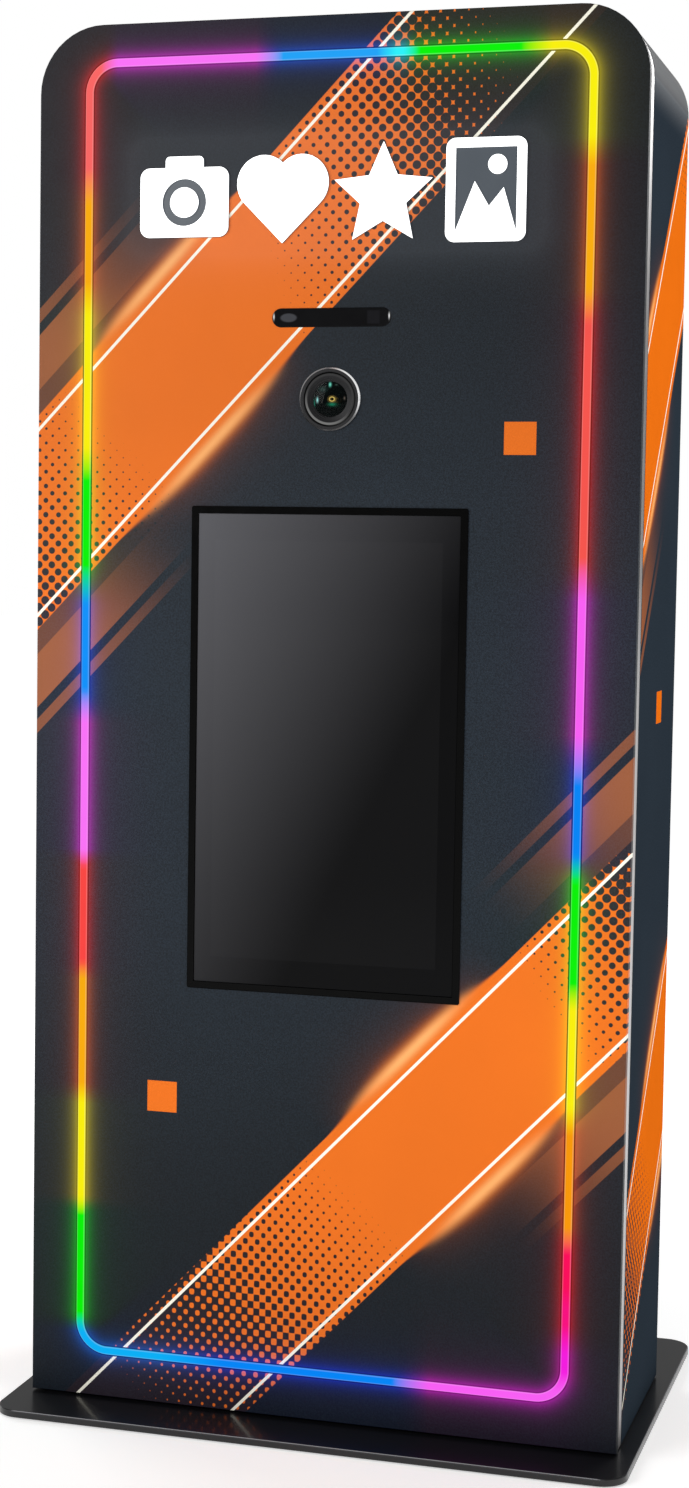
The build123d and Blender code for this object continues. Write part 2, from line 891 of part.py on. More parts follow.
def mode_dial():
    """A knurled dial on a post in the camera's top."""
    low = camera_top + fit
    dial = rod(dial_radius, (dial_x, dial_y, low), (dial_x, dial_y, low + dial_tall))
    dial += rod(dial_post, (dial_x, dial_y, camera_top - dial_post_deep), (dial_x, dial_y, low))
    notch = block((-0.5, 0.5), (dial_radius - 0.6, dial_radius + 1), (low + 1, low + dial_tall - 1))
    for step in range(dial_notches):
        dial -= Pos(dial_x, dial_y, 0) * (Rot(Z=step * 360 / dial_notches) * notch)
    return dial


def camera_cradle():
    """The plate under the camera with an upright at each side, and the guide studs on the uprights."""
    low = body_low_z - cradle_sheet
    deck = (flange_y - 8, body_back - 4)
    body = block((-cradle_half, cradle_half), deck, (low, body_low_z))
    for side in (-1, 1):
        x = sorted((side * cradle_half, side * (cradle_half + cradle_sheet)))
        body += block(x, (flange_y - 8, body_back + 8), (low, lens_height + 20))
        for radius, reach in ((slot_radius_front, 8), (slot_radius_rear, knob_length + 8)):
            start = side * (cradle_half + cradle_sheet)
            end = side * (cheek_x + reach)
            y = front_y + radius
            body += rod(stud_radius, (start, y, lens_height), (end, y, lens_height))
    return body


def arc_slot(radius):
    """A slot that follows the tilt about the lens nose, drawn as seen from the side (y, z)."""
    swing = radians(tilt_limit)
    ends = [(front_y + radius * cos(a), lens_height + radius * sin(a)) for a in (-swing, 0, swing)]
    line = ThreePointArc(*ends)
    return SlotArc(line, 2 * (stud_radius + fit))


def camera_bracket():
    """A front plate on the board's back, with two cheeks whose curved slots guide the cradle."""
    wall = rail_centre - rail_width / 2
    z = (lens_height - cheek_half_tall, lens_height + cheek_half_tall)
    plate = block((-wall, wall), (board_back, board_back + sheet), z)
    plate -= rod(focus_radius + barrel_gap, (0, board_back - 1, lens_height), (0, board_back + 3, lens_height))
    for side in (-1, 1):
        x = sorted((side * cheek_x, side * (cheek_x + cheek_sheet)))
        cheek = block(x, (board_back, front_y + slot_radius_rear + cheek_edge), z)
        for radius in (slot_radius_front, slot_radius_rear):
            outline = Plane.YZ.offset(x[0]) * arc_slot(radius)
            cheek -= extrude(outline, amount=cheek_sheet)
        plate += cheek
        x = sorted((side * (wall - sheet), side * wall))
        plate += block(x, (board_back, board_back + rail_depth - 2), z)
    return plate


def tilt_knob(side):
    """A lobed hand knob on the rear stud, outside the cheek."""
    start = cheek_x + cheek_sheet + fit
    y = front_y + slot_radius_rear
    knob = rod(knob_radius, (start, y, lens_height), (start + knob_length, y, lens_height))
    for step in range(knob_lobes):
        turn = step * 2 * pi / knob_lobes
        dent_y = y + (knob_radius + 3) * cos(turn)
        dent_z = lens_height + (knob_radius + 3) * sin(turn)
        knob -= rod(knob_dent, (start, dent_y, dent_z), (start + knob_length, dent_y, dent_z))
    knob -= rod(stud_radius + running, (start, y, lens_height), (start + knob_length, y, lens_height))
    return knob if side > 0 else mirror(knob, Plane.YZ)


# ---------------------------------------------------------------------------------------------------
# Shelf and equipment
# ---------------------------------------------------------------------------------------------------

shelf_front = shell_front + sheet + 14
shelf_back = shelf_front + shelf_depth


def equipment_shelf():
    """A tray shelf with a turned-down lip along its front and back."""
    half = inner_x - 1
    body = block((-half, half), (shelf_front, shelf_back), (shelf_height - sheet, shelf_height))
    for y in ((shelf_front, shelf_front + sheet), (shelf_back - sheet, shelf_back)):
        body += block((-half, half), y, (shelf_height - shelf_lip, shelf_height))
    return body


def shelf_brackets():
    """Angles on the cabinet's sides that the shelf lies on."""
    angles = []
    top = shelf_height - sheet
    y = (shelf_front + sheet + 6, shelf_back - sheet - 6)
    for side in (-1, 1):
        x = sorted((side * (inner_x - angle_leg), side * inner_x))
        wall = sorted((side * (inner_x - sheet), side * inner_x))
        angles.append(block(x, y, (top - sheet, top)) + block(wall, y, (top - angle_leg, top)))
    return angles


def case(size, x, y, edge):
    """A rounded equipment case that stands on the shelf with its low corner at x, y."""
    long, deep, tall = size
    body = block((x, x + long), (y, y + deep), (shelf_height, shelf_height + tall))
    return fillet(body.edges().filter_by(Axis.Z), edge)


computer_y = shelf_front + case_margin


def mini_computer():
    body = case(computer_size, computer_x, computer_y, computer_edge)
    top = shelf_height + computer_size[2]
    for row in range(10):
        y = computer_y + 40 + row * 11
        body -= block((computer_x + 40, computer_x + 200), (y, y + 4), (top - 3, top))
    return body


def power_supply():
    body = case(supply_size, supply_x, shelf_back - case_margin - supply_size[1], supply_edge)
    top = shelf_height + supply_size[2]
    for row in range(12):
        x = supply_x + 20 + row * 12
        low = shelf_back - 100
        body -= block((x, x + 5), (low, low + 60), (top - 2, top))
    return body


def led_controller():
    return case(controller_size, controller_x, shelf_front + case_margin, controller_edge)


def cable(points, bend):
    """A round lead with straight runs and tangent bends."""
    path = FilletPolyline(*points, radius=bend)
    start = Plane(origin=path @ 0, z_dir=path % 0)
    return sweep(start * Circle(cable_radius), path=path)


def internal_cables():
    """Leads clipped inside: mains to the supply, picture to the screen, power to the lit sign."""
    supply_back = shelf_back - case_margin
    supply_mid = shelf_height + supply_size[2] / 2
    lead_x = supply_x + supply_size[0] - 20
    behind = shelf_back + 18
    inlet_back = back_y + inlet_flange - inlet_depth
    mains = cable([(inlet_x, inlet_back, inlet_height), (inlet_x, behind, inlet_height),
                   (inlet_x, behind, supply_mid), (lead_x, behind, supply_mid),
                   (lead_x, supply_back, supply_mid)], mains_bend)
    plug_x = computer_x + computer_size[0] / 2
    plug_z = shelf_height + computer_size[2]
    rise = computer_y + 12
    picture = cable([(plug_x, rise, plug_z), (plug_x, rise, screen_middle - 130),
                     (plug_x, housing_back, screen_middle - 130)], picture_bend)
    lamp_x = controller_x + controller_size[0] / 2
    lamp_y = shelf_front + case_margin + controller_size[1] / 2
    lamp = cable([(lamp_x, lamp_y, shelf_height + controller_size[2]), (lamp_x, lamp_y, sign_height),
                  (lamp_x, board_back + tray_depth, sign_height)], lamp_bend)
    return mains, picture, lamp


# ---------------------------------------------------------------------------------------------------
# Rear panel and door
# ---------------------------------------------------------------------------------------------------

def door_window(grow):
    """The door opening's outline, grown or shrunk all round."""
    return window(door_width + 2 * grow, door_tall + 2 * grow, door_middle, door_corner + grow)


def rear_panel():
    """The back sheet with the door opening, its jamb and the stop lip behind the door."""
    body = slab(arch(shell_inset + sheet + fit), panel_front, back_y)
    body -= slab(door_window(0), panel_front, back_y)
    jamb = slab(door_window(sheet) - door_window(0), stop_y, panel_front)
    lip = slab(door_window(sheet) - door_window(-stop_lip), stop_y, stop_y + sheet)
    body = body + jamb + lip
    for x, z in rear_screw_points():
        body -= rod(screw_radius + fit, (x, panel_front, z), (x, back_y, z))
    body -= block((inlet_x - inlet_width / 2 - fit, inlet_x + inlet_width / 2 + fit), (panel_front, back_y),
                  (inlet_height - inlet_tall / 2 - fit, inlet_height + inlet_tall / 2 + fit))
    return body


def door_seal():
    """A foam strip on the stop lip, which the door's edge closes against."""
    outer = door_window(-1)
    inner = door_window(-1 - seal_width)
    return slab(outer - inner, stop_y + sheet, back_y - door_return - fit)


def vent_slots(middle, rows, wide, pitch):
    """A column of level air slots through the door's skin."""
    first = middle - pitch * (rows - 1) / 2
    slots = [Pos(0, first + row * pitch) * SlotOverall(wide, vent_tall) for row in range(rows)]
    return [slab(outline, back_y - sheet, back_y) for outline in slots]


def rear_door():
    """A folded door pan, flush with the rear panel."""
    skin = slab(door_window(-door_gap), back_y - sheet, back_y)
    rim = slab(door_window(-door_gap) - door_window(-door_gap - sheet), back_y - door_return, back_y - sheet)
    door = skin + rim
    for slot in vent_slots(fan_height, vent_rows, fan_size - 16, vent_pitch):
        door -= slot
    for slot in vent_slots(door_bottom + low_vent_rise, low_vent_rows, 2 * fan_size, low_vent_pitch):
        door -= slot
    for z in lock_heights():
        door -= rod(lock_radius + fit, (lock_x, back_y - sheet, z), (lock_x, back_y, z))
    return door


def hinge_heights():
    pitch = (door_tall - 2 * hinge_from_end) / (hinge_count - 1)
    return [door_bottom + hinge_from_end + pitch * step for step in range(hinge_count)]


def hinge(z, moving):
    """One half of a butt hinge: the fixed half has two knuckles and the moving half the one between."""
    third = hinge_length / 3
    low = z - hinge_length / 2
    middle = (low + third, low + 2 * third)
    outer = ((low, low + third), (low + 2 * third, low + hinge_length))
    mine = (middle,) if moving else outer
    other = outer if moving else (middle,)
    x = (hinge_x - hinge_leaf, hinge_x) if moving else (hinge_x, hinge_x + hinge_leaf)
    body = block(x, (back_y, back_y + leaf_thickness), (low, low + hinge_length))
    for bottom, top in other:
        body -= rod(knuckle_radius + 2 * fit, (hinge_x, hinge_y, bottom - fit), (hinge_x, hinge_y, top + fit))
    for bottom, top in mine:
        shrink = fit / 2 if moving else 0
        body += rod(knuckle_radius, (hinge_x, hinge_y, bottom + shrink), (hinge_x, hinge_y, top - shrink))
    bore = pin_radius + (running if moving else 0)
    body -= rod(bore, (hinge_x, hinge_y, low - 1), (hinge_x, hinge_y, low + hinge_length + 1))
    return body


def hinge_pin(z):
    half = hinge_length / 2
    return rod(pin_radius, (hinge_x, hinge_y, z - half), (hinge_x, hinge_y, z + half))


def lock_heights():
    return [door_middle - lock_spread / 2, door_middle + lock_spread / 2]


def lock_barrel(z):
    """The fixed part of a cam lock, with its round head outside the door."""
    inner_end = stop_y + 1
    outer_end = back_y + lock_head_tall
    head = rod(lock_head, (lock_x, back_y, z), (lock_x, outer_end, z))
    head = chamfer(head.faces().sort_by(Axis.Y)[-1].edges(), 1)
    body = head + rod(lock_radius, (lock_x, inner_end, z), (lock_x, back_y, z))
    return body - rod(plug_radius + running, (lock_x, inner_end, z), (lock_x, outer_end, z))


def lock_cam(z):
    """The lock's turning plug with its key slot, and the cam that swings behind the stop lip."""
    cam_y = (stop_y - cam_gap - cam_thickness, stop_y - cam_gap)
    outer_end = back_y + lock_head_tall
    slot_wide, slot_tall, slot_deep = key_slot
    plug = rod(plug_radius, (lock_x, cam_y[0], z), (lock_x, outer_end, z))
    plug -= block((lock_x - slot_wide / 2, lock_x + slot_wide / 2), (back_y - slot_deep, outer_end),
                  (z - slot_tall / 2, z + slot_tall / 2))
    cam = block((lock_x - cam_width / 2, lock_x + cam_width / 2), cam_y, (z - cam_heel, z + cam_length))
    return plug + fillet(cam.edges().filter_by(Axis.Y), cam_round)


def fan_frame():
    """The square fan housing on the door's inner face, with the motor hub held on four arms."""
    back = back_y - sheet
    front = back - fan_depth
    body = slab(window(fan_size, fan_size, fan_height, 6), front, back)
    body -= slab(Pos(0, fan_height) * Circle(fan_size / 2 - fan_wall), front, back)
    arm_length = fan_size - fan_wall - 1
    arms = window(arm_length, fan_arm, fan_height) + window(fan_arm, arm_length, fan_height)
    body += slab(arms, front, front + fan_arm_deep)
    return body + slab(Pos(0, fan_height) * Circle(fan_hub), front, front + fan_arm_deep + 1)


def fan_rotor():
    """The turning hub with seven pitched blades."""
    front = back_y - sheet - fan_depth + fan_arm_deep + 1.5
    back = back_y - sheet - 2
    hub = rod(fan_hub, (0, front, fan_height), (0, back, fan_height))
    middle = (front + back) / 2
    reach = fan_size / 2 - fan_wall - blade_gap
    plate = Rot(X=blade_pitch) * Box(reach - fan_hub + 2, blade_thickness, blade_chord)
    blade = Pos((fan_hub + reach) / 2 - 1, middle, 0) * plate
    ring = rod(reach, (0, front, fan_height), (0, back, fan_height))
    body = hub
    for step in range(fan_blades):
        body += (Pos(0, 0, fan_height) * (Rot(Y=step * 360 / fan_blades) * blade)) & ring
    return body


# ---------------------------------------------------------------------------------------------------
# Mains inlet
# ---------------------------------------------------------------------------------------------------

inlet_face = back_y + inlet_flange
socket_z = inlet_height - socket_drop
drawer_z = inlet_height + drawer_rise
rocker_z = inlet_height + rocker_rise
rocker_pivot_y = inlet_face - rocker_pivot_deep


def inlet_pocket(half_wide, half_tall, depth, z):
    """A box-shaped pocket in the inlet's face."""
    return block((inlet_x - half_wide, inlet_x + half_wide), (inlet_face - depth, inlet_face),
                 (z - half_tall, z + half_tall))


def power_inlet():
    """The appliance inlet: a flanged block with the socket, a fuse drawer's pocket and a switch window."""
    x = (inlet_x - inlet_width / 2, inlet_x + inlet_width / 2)
    z = (inlet_height - inlet_tall / 2, inlet_height + inlet_tall / 2)
    body = block(x, (inlet_face - inlet_depth, back_y), z)
    body += block((x[0] - inlet_lip, x[1] + inlet_lip), (back_y, inlet_face),
                  (z[0] - inlet_lip, z[1] + inlet_lip))
    body -= inlet_pocket(socket_half_wide, socket_half_tall, socket_depth, socket_z)
    body -= inlet_pocket(drawer_half_wide + fit, drawer_half_tall + fit, drawer_depth + fit, drawer_z)
    body -= inlet_pocket(rocker_pocket[0], rocker_half_tall + fit, rocker_pocket[1], rocker_z)
    half_wide, half_tall = contact_half
    for across, up in ((-contact_spread, -1.5), (0, 2), (contact_spread, -1.5)):
        contact = inlet_pocket(half_wide, half_tall, socket_depth + 0.5, socket_z + up)
        contact -= inlet_pocket(half_wide + 1, half_tall + 1, contact_set_in, socket_z + up)
        body += Pos(across, 0, 0) * contact
    return body


def fuse_drawer():
    """The drawer that holds the fuse, with a finger notch along its top edge."""
    x = (inlet_x - drawer_half_wide, inlet_x + drawer_half_wide)
    z = (drawer_z - drawer_half_tall, drawer_z + drawer_half_tall)
    body = block(x, (inlet_face - drawer_depth, inlet_face + 1), z)
    return body - block((inlet_x - 5, inlet_x + 5), (inlet_face - 0.8, inlet_face + 1), (z[1] - 2, z[1]))


def inlet_rocker():
    """The mains switch's rocker, resting with its left end pressed in."""
    top = rocker_pivot_deep + inlet_flange
    dish_y = top + rocker_dish - rocker_dish_deep
    body = block((-rocker_half_wide, rocker_half_wide), (-rocker_back, top), (-rocker_half_tall, rocker_half_tall))
    dish = rod(rocker_dish, (0, dish_y, -rocker_half_tall - 1), (0, dish_y, rocker_half_tall + 1))
    return Pos(inlet_x, rocker_pivot_y, rocker_z) * (Rot(Z=rocker_swing / 2) * (body - dish))


# ---------------------------------------------------------------------------------------------------
# Write the pieces
# ---------------------------------------------------------------------------------------------------

os.makedirs("parts", exist_ok=True)

save("base_plate", base_plate())
save("floor_pads", *floor_pads())
save("bottom_frame", bottom_frame())
save("base_bolts", *[base_bolt(x, y) for x, y in base_bolt_points()])
save("side_panel_left", side_panel(-1))
save("side_panel_right", side_panel(1))
save("top_panel", top_panel())
save("rear_panel", rear_panel())
save("rear_panel_screws", *[rear_screw(x, z) for x, z in rear_screw_points()])
save("edge_trim", edge_trim())
save("trim_seals", *trim_seals())
save("front_fascia", front_fascia())

save("led_channel", led_channel())
save("led_strip", led_strip())
save("led_diffuser", led_diffuser())
save("sign_symbols", *sign_symbols())
save("sign_tray", sign_tray())
save("sign_led_board", sign_led_board())
save("sensor_window", sensor_window())
save("sensor_board", sensor_board())
save("sensor_eye", sensor_eye())

save("screen_bezel", screen_bezel())
save("touch_glass", touch_glass())
save("display_panel", display_panel())
save("display_housing", display_housing())
save("display_board", display_board())
save("support_rails", *support_rails())
save("screen_brackets", *screen_brackets())

save("lens_trim_ring", lens_trim_ring())
save("lens_front_ring", lens_front_ring())
save("front_element", front_element())
save("lens_barrel", lens_barrel())
save("focus_ring", grip_ring(focus_radius, focus_span, focus_ribs))
save("zoom_ring", grip_ring(zoom_radius, zoom_span, zoom_ribs))
save("camera_body", camera_body())
save("shutter_button", shutter_button())
save("mode_dial", mode_dial())
save("camera_cradle", camera_cradle())
save("camera_bracket", camera_bracket())
save("tilt_knob_left", tilt_knob(-1))
save("tilt_knob_right", tilt_knob(1))

save("equipment_shelf", equipment_shelf())
save("shelf_brackets", *shelf_brackets())
save("mini_computer", mini_computer())
save("power_supply", power_supply())
save("led_controller", led_controller())
save("internal_cables", *internal_cables())

save("rear_door", rear_door())
save("door_seal", door_seal())
save("hinge_leaves_fixed", *[hinge(z, False) for z in hinge_heights()])
save("hinge_leaves_door", *[hinge(z, True) for z in hinge_heights()])
save("hinge_pins", *[hinge_pin(z) for z in hinge_heights()])
save("lock_barrels", *[lock_barrel(z) for z in lock_heights()])
save("lock_cam_lower", lock_cam(lock_heights()[0]))
save("lock_cam_upper", lock_cam(lock_heights()[1]))
save("fan_frame", fan_frame())
save("fan_rotor", fan_rotor())

save("power_inlet", power_inlet())
save("fuse_drawer", fuse_drawer())
save("inlet_rocker", inlet_rocker())
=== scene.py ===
# %% [markdown]
# A free-standing photo booth. The solid parts come from the CAD pack, already in their places, and this
# lesson gives each of them its finish, adds the small parts that only the eye needs, and sets up a plain
# studio. Everything is in metres: Z is up, the booth faces -Y, and the origin is on the floor under it.

# %% Load the frame
import json
import math

import bmesh
import bpy
from mathutils import Matrix, Vector


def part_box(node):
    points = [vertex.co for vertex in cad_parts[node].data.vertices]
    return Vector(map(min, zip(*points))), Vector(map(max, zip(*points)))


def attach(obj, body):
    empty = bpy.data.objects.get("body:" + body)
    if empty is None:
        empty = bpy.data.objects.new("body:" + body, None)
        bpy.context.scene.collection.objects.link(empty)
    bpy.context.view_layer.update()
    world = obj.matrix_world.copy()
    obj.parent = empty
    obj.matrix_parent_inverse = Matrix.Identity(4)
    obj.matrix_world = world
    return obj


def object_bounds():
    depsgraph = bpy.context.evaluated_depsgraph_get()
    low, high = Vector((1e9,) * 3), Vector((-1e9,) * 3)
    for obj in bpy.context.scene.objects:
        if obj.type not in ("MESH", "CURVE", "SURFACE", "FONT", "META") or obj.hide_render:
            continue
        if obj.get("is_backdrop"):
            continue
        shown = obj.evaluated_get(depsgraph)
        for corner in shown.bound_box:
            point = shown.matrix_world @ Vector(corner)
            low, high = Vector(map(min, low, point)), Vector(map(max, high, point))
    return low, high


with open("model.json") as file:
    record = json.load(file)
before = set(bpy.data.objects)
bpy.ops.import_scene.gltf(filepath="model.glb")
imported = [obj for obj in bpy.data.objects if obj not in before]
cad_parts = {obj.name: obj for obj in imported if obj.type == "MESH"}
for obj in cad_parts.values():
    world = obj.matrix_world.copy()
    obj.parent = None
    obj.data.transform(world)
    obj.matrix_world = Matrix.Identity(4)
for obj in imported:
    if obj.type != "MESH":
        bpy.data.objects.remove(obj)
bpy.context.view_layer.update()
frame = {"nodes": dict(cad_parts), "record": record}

# %% [markdown]
# Shader maths reads best as plain arithmetic. A Wire holds one output socket, and adding or multiplying
# wires makes the Math nodes behind the scenes. A Finish is one material: its node() method makes
# any other node from its type, its settings and what goes into its sockets.

# %% Wires and finishes
class Wire:
    """One output socket, with arithmetic."""

    def __init__(self, finish, socket):
        self.finish = finish
        self.socket = socket

    def math(self, operation, *values):
        return self.finish.node("Math", {"operation": operation}, dict(enumerate(values)))

    def __add__(self, other):
        return self.math("ADD", self, other)

    __radd__ = __add__

    def __mul__(self, other):
        return self.math("MULTIPLY", self, other)

    __rmul__ = __mul__

    def __sub__(self, other):
        return self.math("SUBTRACT", self, other)

    def __rsub__(self, other):
        return self.math("SUBTRACT", other, self)

    def __truediv__(self, other):
        return self.math("DIVIDE", self, other)

    def __pow__(self, other):
        return self.math("POWER", self, other)

    def __abs__(self):
        return self.math("ABSOLUTE", self)


class Finish:
    """One material and its nodes."""

    def __init__(self, name):
        self.material = bpy.data.materials.new(name)
        self.material.use_nodes = True
        self.tree = self.material.node_tree
        self.tree.nodes.clear()
        self._place = None

    def node(self, kind, settings=None, sockets=None, out=0):
        made = self.tree.nodes.new("ShaderNode" + kind)
        for name, value in (settings or {}).items():
            if name == "stops":
                set_stops(made.color_ramp, value)
            else:
                setattr(made, name, value)
        for key, value in (sockets or {}).items():
            if isinstance(value, Wire):
                self.tree.links.new(value.socket, made.inputs[key])
            else:
                made.inputs[key].default_value = value
        return Wire(self, made.outputs[out])

    def place(self):
        """The point in the booth's frame, as three wires in millimetres."""
        if self._place is None:
            where = self.node("TexCoord", out="Object")
            scaled = self.node("VectorMath", {"operation": "SCALE"}, {0: where, "Scale": 1000.0})
            self._place = [self.node("SeparateXYZ", {}, {0: scaled}, out=i) for i in range(3)]
        return self._place

    def surface(self, **sockets):
        """The end of every finish: one Principled shader. Names use _ for a space."""
        filled = {name.replace("_", " "): value for name, value in sockets.items()}
        shader = self.node("BsdfPrincipled", {}, filled)
        end = self.tree.nodes.new("ShaderNodeOutputMaterial")
        self.tree.links.new(shader.socket, end.inputs["Surface"])
        print("finish", self.material.name, "has", len(self.tree.nodes), "nodes")
        return self.material


def set_stops(ramp, stops):
    """Gives a ramp its stops, as (position, colour) from low to high."""
    while len(ramp.elements) > 1:
        ramp.elements.remove(ramp.elements[-1])
    for number, (position, colour) in enumerate(stops):
        element = ramp.elements[0] if number == 0 else ramp.elements.new(position)
        element.position = position
        element.color = colour


def paint(code):
    """A colour written as a paint code of red, green and blue, as light."""
    parts = [int(code[i:i + 2], 16) / 255 for i in (0, 2, 4)]
    return [p / 12.92 if p < 0.04045 else ((p + 0.055) / 1.055) ** 2.4 for p in parts] + [1.0]


BLACK = (0, 0, 0, 1)
WHITE = (1, 1, 1, 1)
print("orange paint as light:", [round(v, 3) for v in paint("EA7014")])

# %% [markdown]
# A few helpers come up in every finish: a smooth step between two values, a blend of two colours, and the
# cloudy noise that keeps a real surface from looking like one flat colour.

# %% Helpers for every finish
def step(value, low, high):
    """0 below low, 1 above high and smooth between."""
    return value.finish.node("MapRange", {"interpolation_type": "SMOOTHSTEP"},
                             {"Value": value, "From Min": low, "From Max": high})


def window(value, low, high, soft):
    """1 between low and high."""
    return step(value, low - soft, low + soft) * (1 - step(value, high - soft, high + soft))


def largest(first, second):
    """The greater of a wire and another wire or number."""
    return first.math("MAXIMUM", first, second)


def smallest(first, second):
    """The lesser of a wire and another wire or number."""
    return first.math("MINIMUM", first, second)


def fading(distance, reach):
    """1 at no distance, down to about a third at the reach, and on towards 0."""
    return distance.math("EXPONENT", distance / -reach)


def bell(distance):
    """1 at no distance and falling off softly on both sides."""
    return distance.math("EXPONENT", distance * distance * -1.0)


def blend(share, first, second, how="MIX"):
    """Two colours put together by one of the ways of the Mix node."""
    maker = first.finish if isinstance(first, Wire) else share.finish
    return maker.node("Mix", {"data_type": "RGBA", "blend_type": how}, {0: share, 6: first, 7: second}, out=2)


def mix(share, first, second):
    """The first colour where share is 0, the second where it is 1."""
    return blend(share, first, second)


def add_light(first, second):
    """Two colours of light on the same spot."""
    return blend(1.0, first, second, "ADD")


def tint(first, second):
    """The first colour seen through the second."""
    return blend(1.0, first, second, "MULTIPLY")


def lit_by(share, colour):
    """A colour of light, black where share is 0."""
    return mix(share, BLACK, colour)


def cloud(finish, grain, stretch=(1, 1, 1), detail=3.0, seed=0.0):
    """Noise from 0 to 1 whose lumps are about grain millimetres wide."""
    where = finish.node("TexCoord", out="Object")
    turned = finish.node("Mapping", {}, {"Vector": where, "Location": (seed, seed, seed), "Scale": stretch})
    return finish.node("TexNoise", {}, {"Vector": turned, "Scale": 1000.0 / grain, "Detail": detail})


def bumped(finish, height, depth):
    """A bump from a height of 0 to 1, depth millimetres deep."""
    return finish.node("Bump", {}, {"Strength": 1.0, "Distance": depth / 1000, "Height": height})


def shade(wire, colour, spread):
    """A colour that a cloud makes up to spread lighter and darker."""
    darker = [c * (1 - spread) for c in colour[:3]] + [1]
    lighter = [min(1, c * (1 + spread)) for c in colour[:3]] + [1]
    return mix(wire, darker, lighter)


def spot(h, v, at_h, at_v, wide, tall):
    """1 in the middle of an oval spot, fading to 0 round it."""
    over_h = (h - at_h) / wide
    over_v = (v - at_v) / tall
    return h.math("EXPONENT", (over_h * over_h + over_v * over_v) * -1.0)


def distance_to_box(h, v, half_h, half_v, corner):
    """How far a point is outside a rounded rectangle about the origin, below 0 inside it."""
    over_h = abs(h) - (half_h - corner)
    over_v = abs(v) - (half_v - corner)
    out_h = largest(over_h, 0.0)
    out_v = largest(over_v, 0.0)
    inside = smallest(largest(over_h, over_v), 0.0)
    return (out_h * out_h + out_v * out_v) ** 0.5 + inside - corner


# %% [markdown]
# Most parts are painted, moulded or plain metal. A painted or moulded part has a fine grain that scatters
# the light, a slow change of tone and a sheen that differs from place to place. A metal part is brushed in
# one direction, so its noise is stretched that way. Two functions cover nearly all of them.

# %% Plain finishes
def coated(name, colour, rough, grain=0.8, depth=0.03, spread=0.12, rub=0.08, **more):
    """Paint, plastic or rubber."""
    finish = Finish(name)
    fine = cloud(finish, grain)
    slow = cloud(finish, 140, detail=4.0, seed=3.0)
    rubbed = cloud(finish, 22, detail=6.0, seed=7.0)
    return finish.surface(Base_Color=shade(slow, colour, spread),
                          Roughness=rough + (rubbed - 0.5) * rub * 2,
                          Normal=bumped(finish, fine, depth), **more)


UPRIGHT = (1, 1, 0.02)


def brushed(name, colour, rough, stretch=(1, 1, 1), spread=0.10, depth=0.012):
    """Bare or plated metal, brushed the way that its noise is stretched."""
    finish = Finish(name)
    lines = cloud(finish, 0.6, stretch, detail=2.0)
    slow = cloud(finish, 60, detail=5.0, seed=2.0)
    return finish.surface(Base_Color=shade(slow, colour, spread), Metallic=1.0,
                          Roughness=rough + (slow - 0.5) * 0.14 + (lines - 0.5) * 0.1,
                          Normal=bumped(finish, lines, depth))


looks = {}
looks["pad_rubber"] = coated("pad_rubber", (0.022, 0.022, 0.023), 0.85, grain=1.2, depth=0.08)
looks["black_fixings"] = coated("black_fixings", (0.02, 0.02, 0.021), 0.42, grain=0.5, depth=0.02,
                                Metallic=0.6)
looks["rear_paint"] = coated("rear_paint", (0.020, 0.024, 0.029), 0.52, grain=1.1, depth=0.09)
looks["black_foam"] = coated("black_foam", (0.010, 0.010, 0.011), 0.95, grain=1.5, depth=0.2)
looks["ribbed_rubber"] = coated("ribbed_rubber", (0.016, 0.016, 0.017), 0.72, grain=0.6, depth=0.03)
looks["camera_plastic"] = coated("camera_plastic", (0.018, 0.018, 0.019), 0.55, grain=0.7, depth=0.08)
looks["cradle_paint"] = coated("cradle_paint", (0.030, 0.031, 0.033), 0.48, grain=0.9, depth=0.05)
looks["knob_plastic"] = coated("knob_plastic", (0.020, 0.020, 0.021), 0.46, grain=0.6, depth=0.04)
looks["case_black"] = coated("case_black", (0.024, 0.025, 0.027), 0.44, grain=0.8, depth=0.05)
looks["cable_black"] = coated("cable_black", (0.014, 0.014, 0.015), 0.50, grain=0.9, depth=0.03)
looks["fan_plastic"] = coated("fan_plastic", (0.017, 0.017, 0.018), 0.40, grain=0.9, depth=0.03)
looks["inlet_plastic"] = coated("inlet_plastic", (0.018, 0.018, 0.019), 0.38, grain=0.7, depth=0.04)
looks["rocker_plastic"] = coated("rocker_plastic", (0.42, 0.012, 0.010), 0.24, grain=0.8, depth=0.01,
                                 Coat_Weight=0.4, Coat_Roughness=0.1)
looks["bezel_black"] = coated("bezel_black", (0.002, 0.002, 0.002), 0.16, grain=0.5, depth=0.004,
                              Specular_IOR_Level=0.04)
looks["panel_black"] = coated("panel_black", (0.008, 0.008, 0.010), 0.22, grain=0.4, depth=0.004)
looks["zinc"] = brushed("zinc", (0.60, 0.61, 0.60), 0.36, UPRIGHT)
looks["bare_aluminium"] = brushed("bare_aluminium", (0.42, 0.41, 0.41), 0.36, UPRIGHT)
looks["case_silver"] = brushed("case_silver", (0.52, 0.53, 0.54), 0.42)
looks["dial_metal"] = brushed("dial_metal", (0.10, 0.10, 0.105), 0.34)
looks["hinge_steel"] = brushed("hinge_steel", (0.42, 0.42, 0.43), 0.32, UPRIGHT)
looks["lock_chrome"] = brushed("lock_chrome", (0.72, 0.72, 0.74), 0.16, depth=0.004)
print(len(looks), "plain finishes")

# %% [markdown]
# Galvanised sheet shows zinc crystals: flat patches, each a little lighter or darker than the next. A
# Voronoi pattern gives every cell its own grey.

# %% Galvanised sheet
SPANGLES_PER_METRE = 70.0


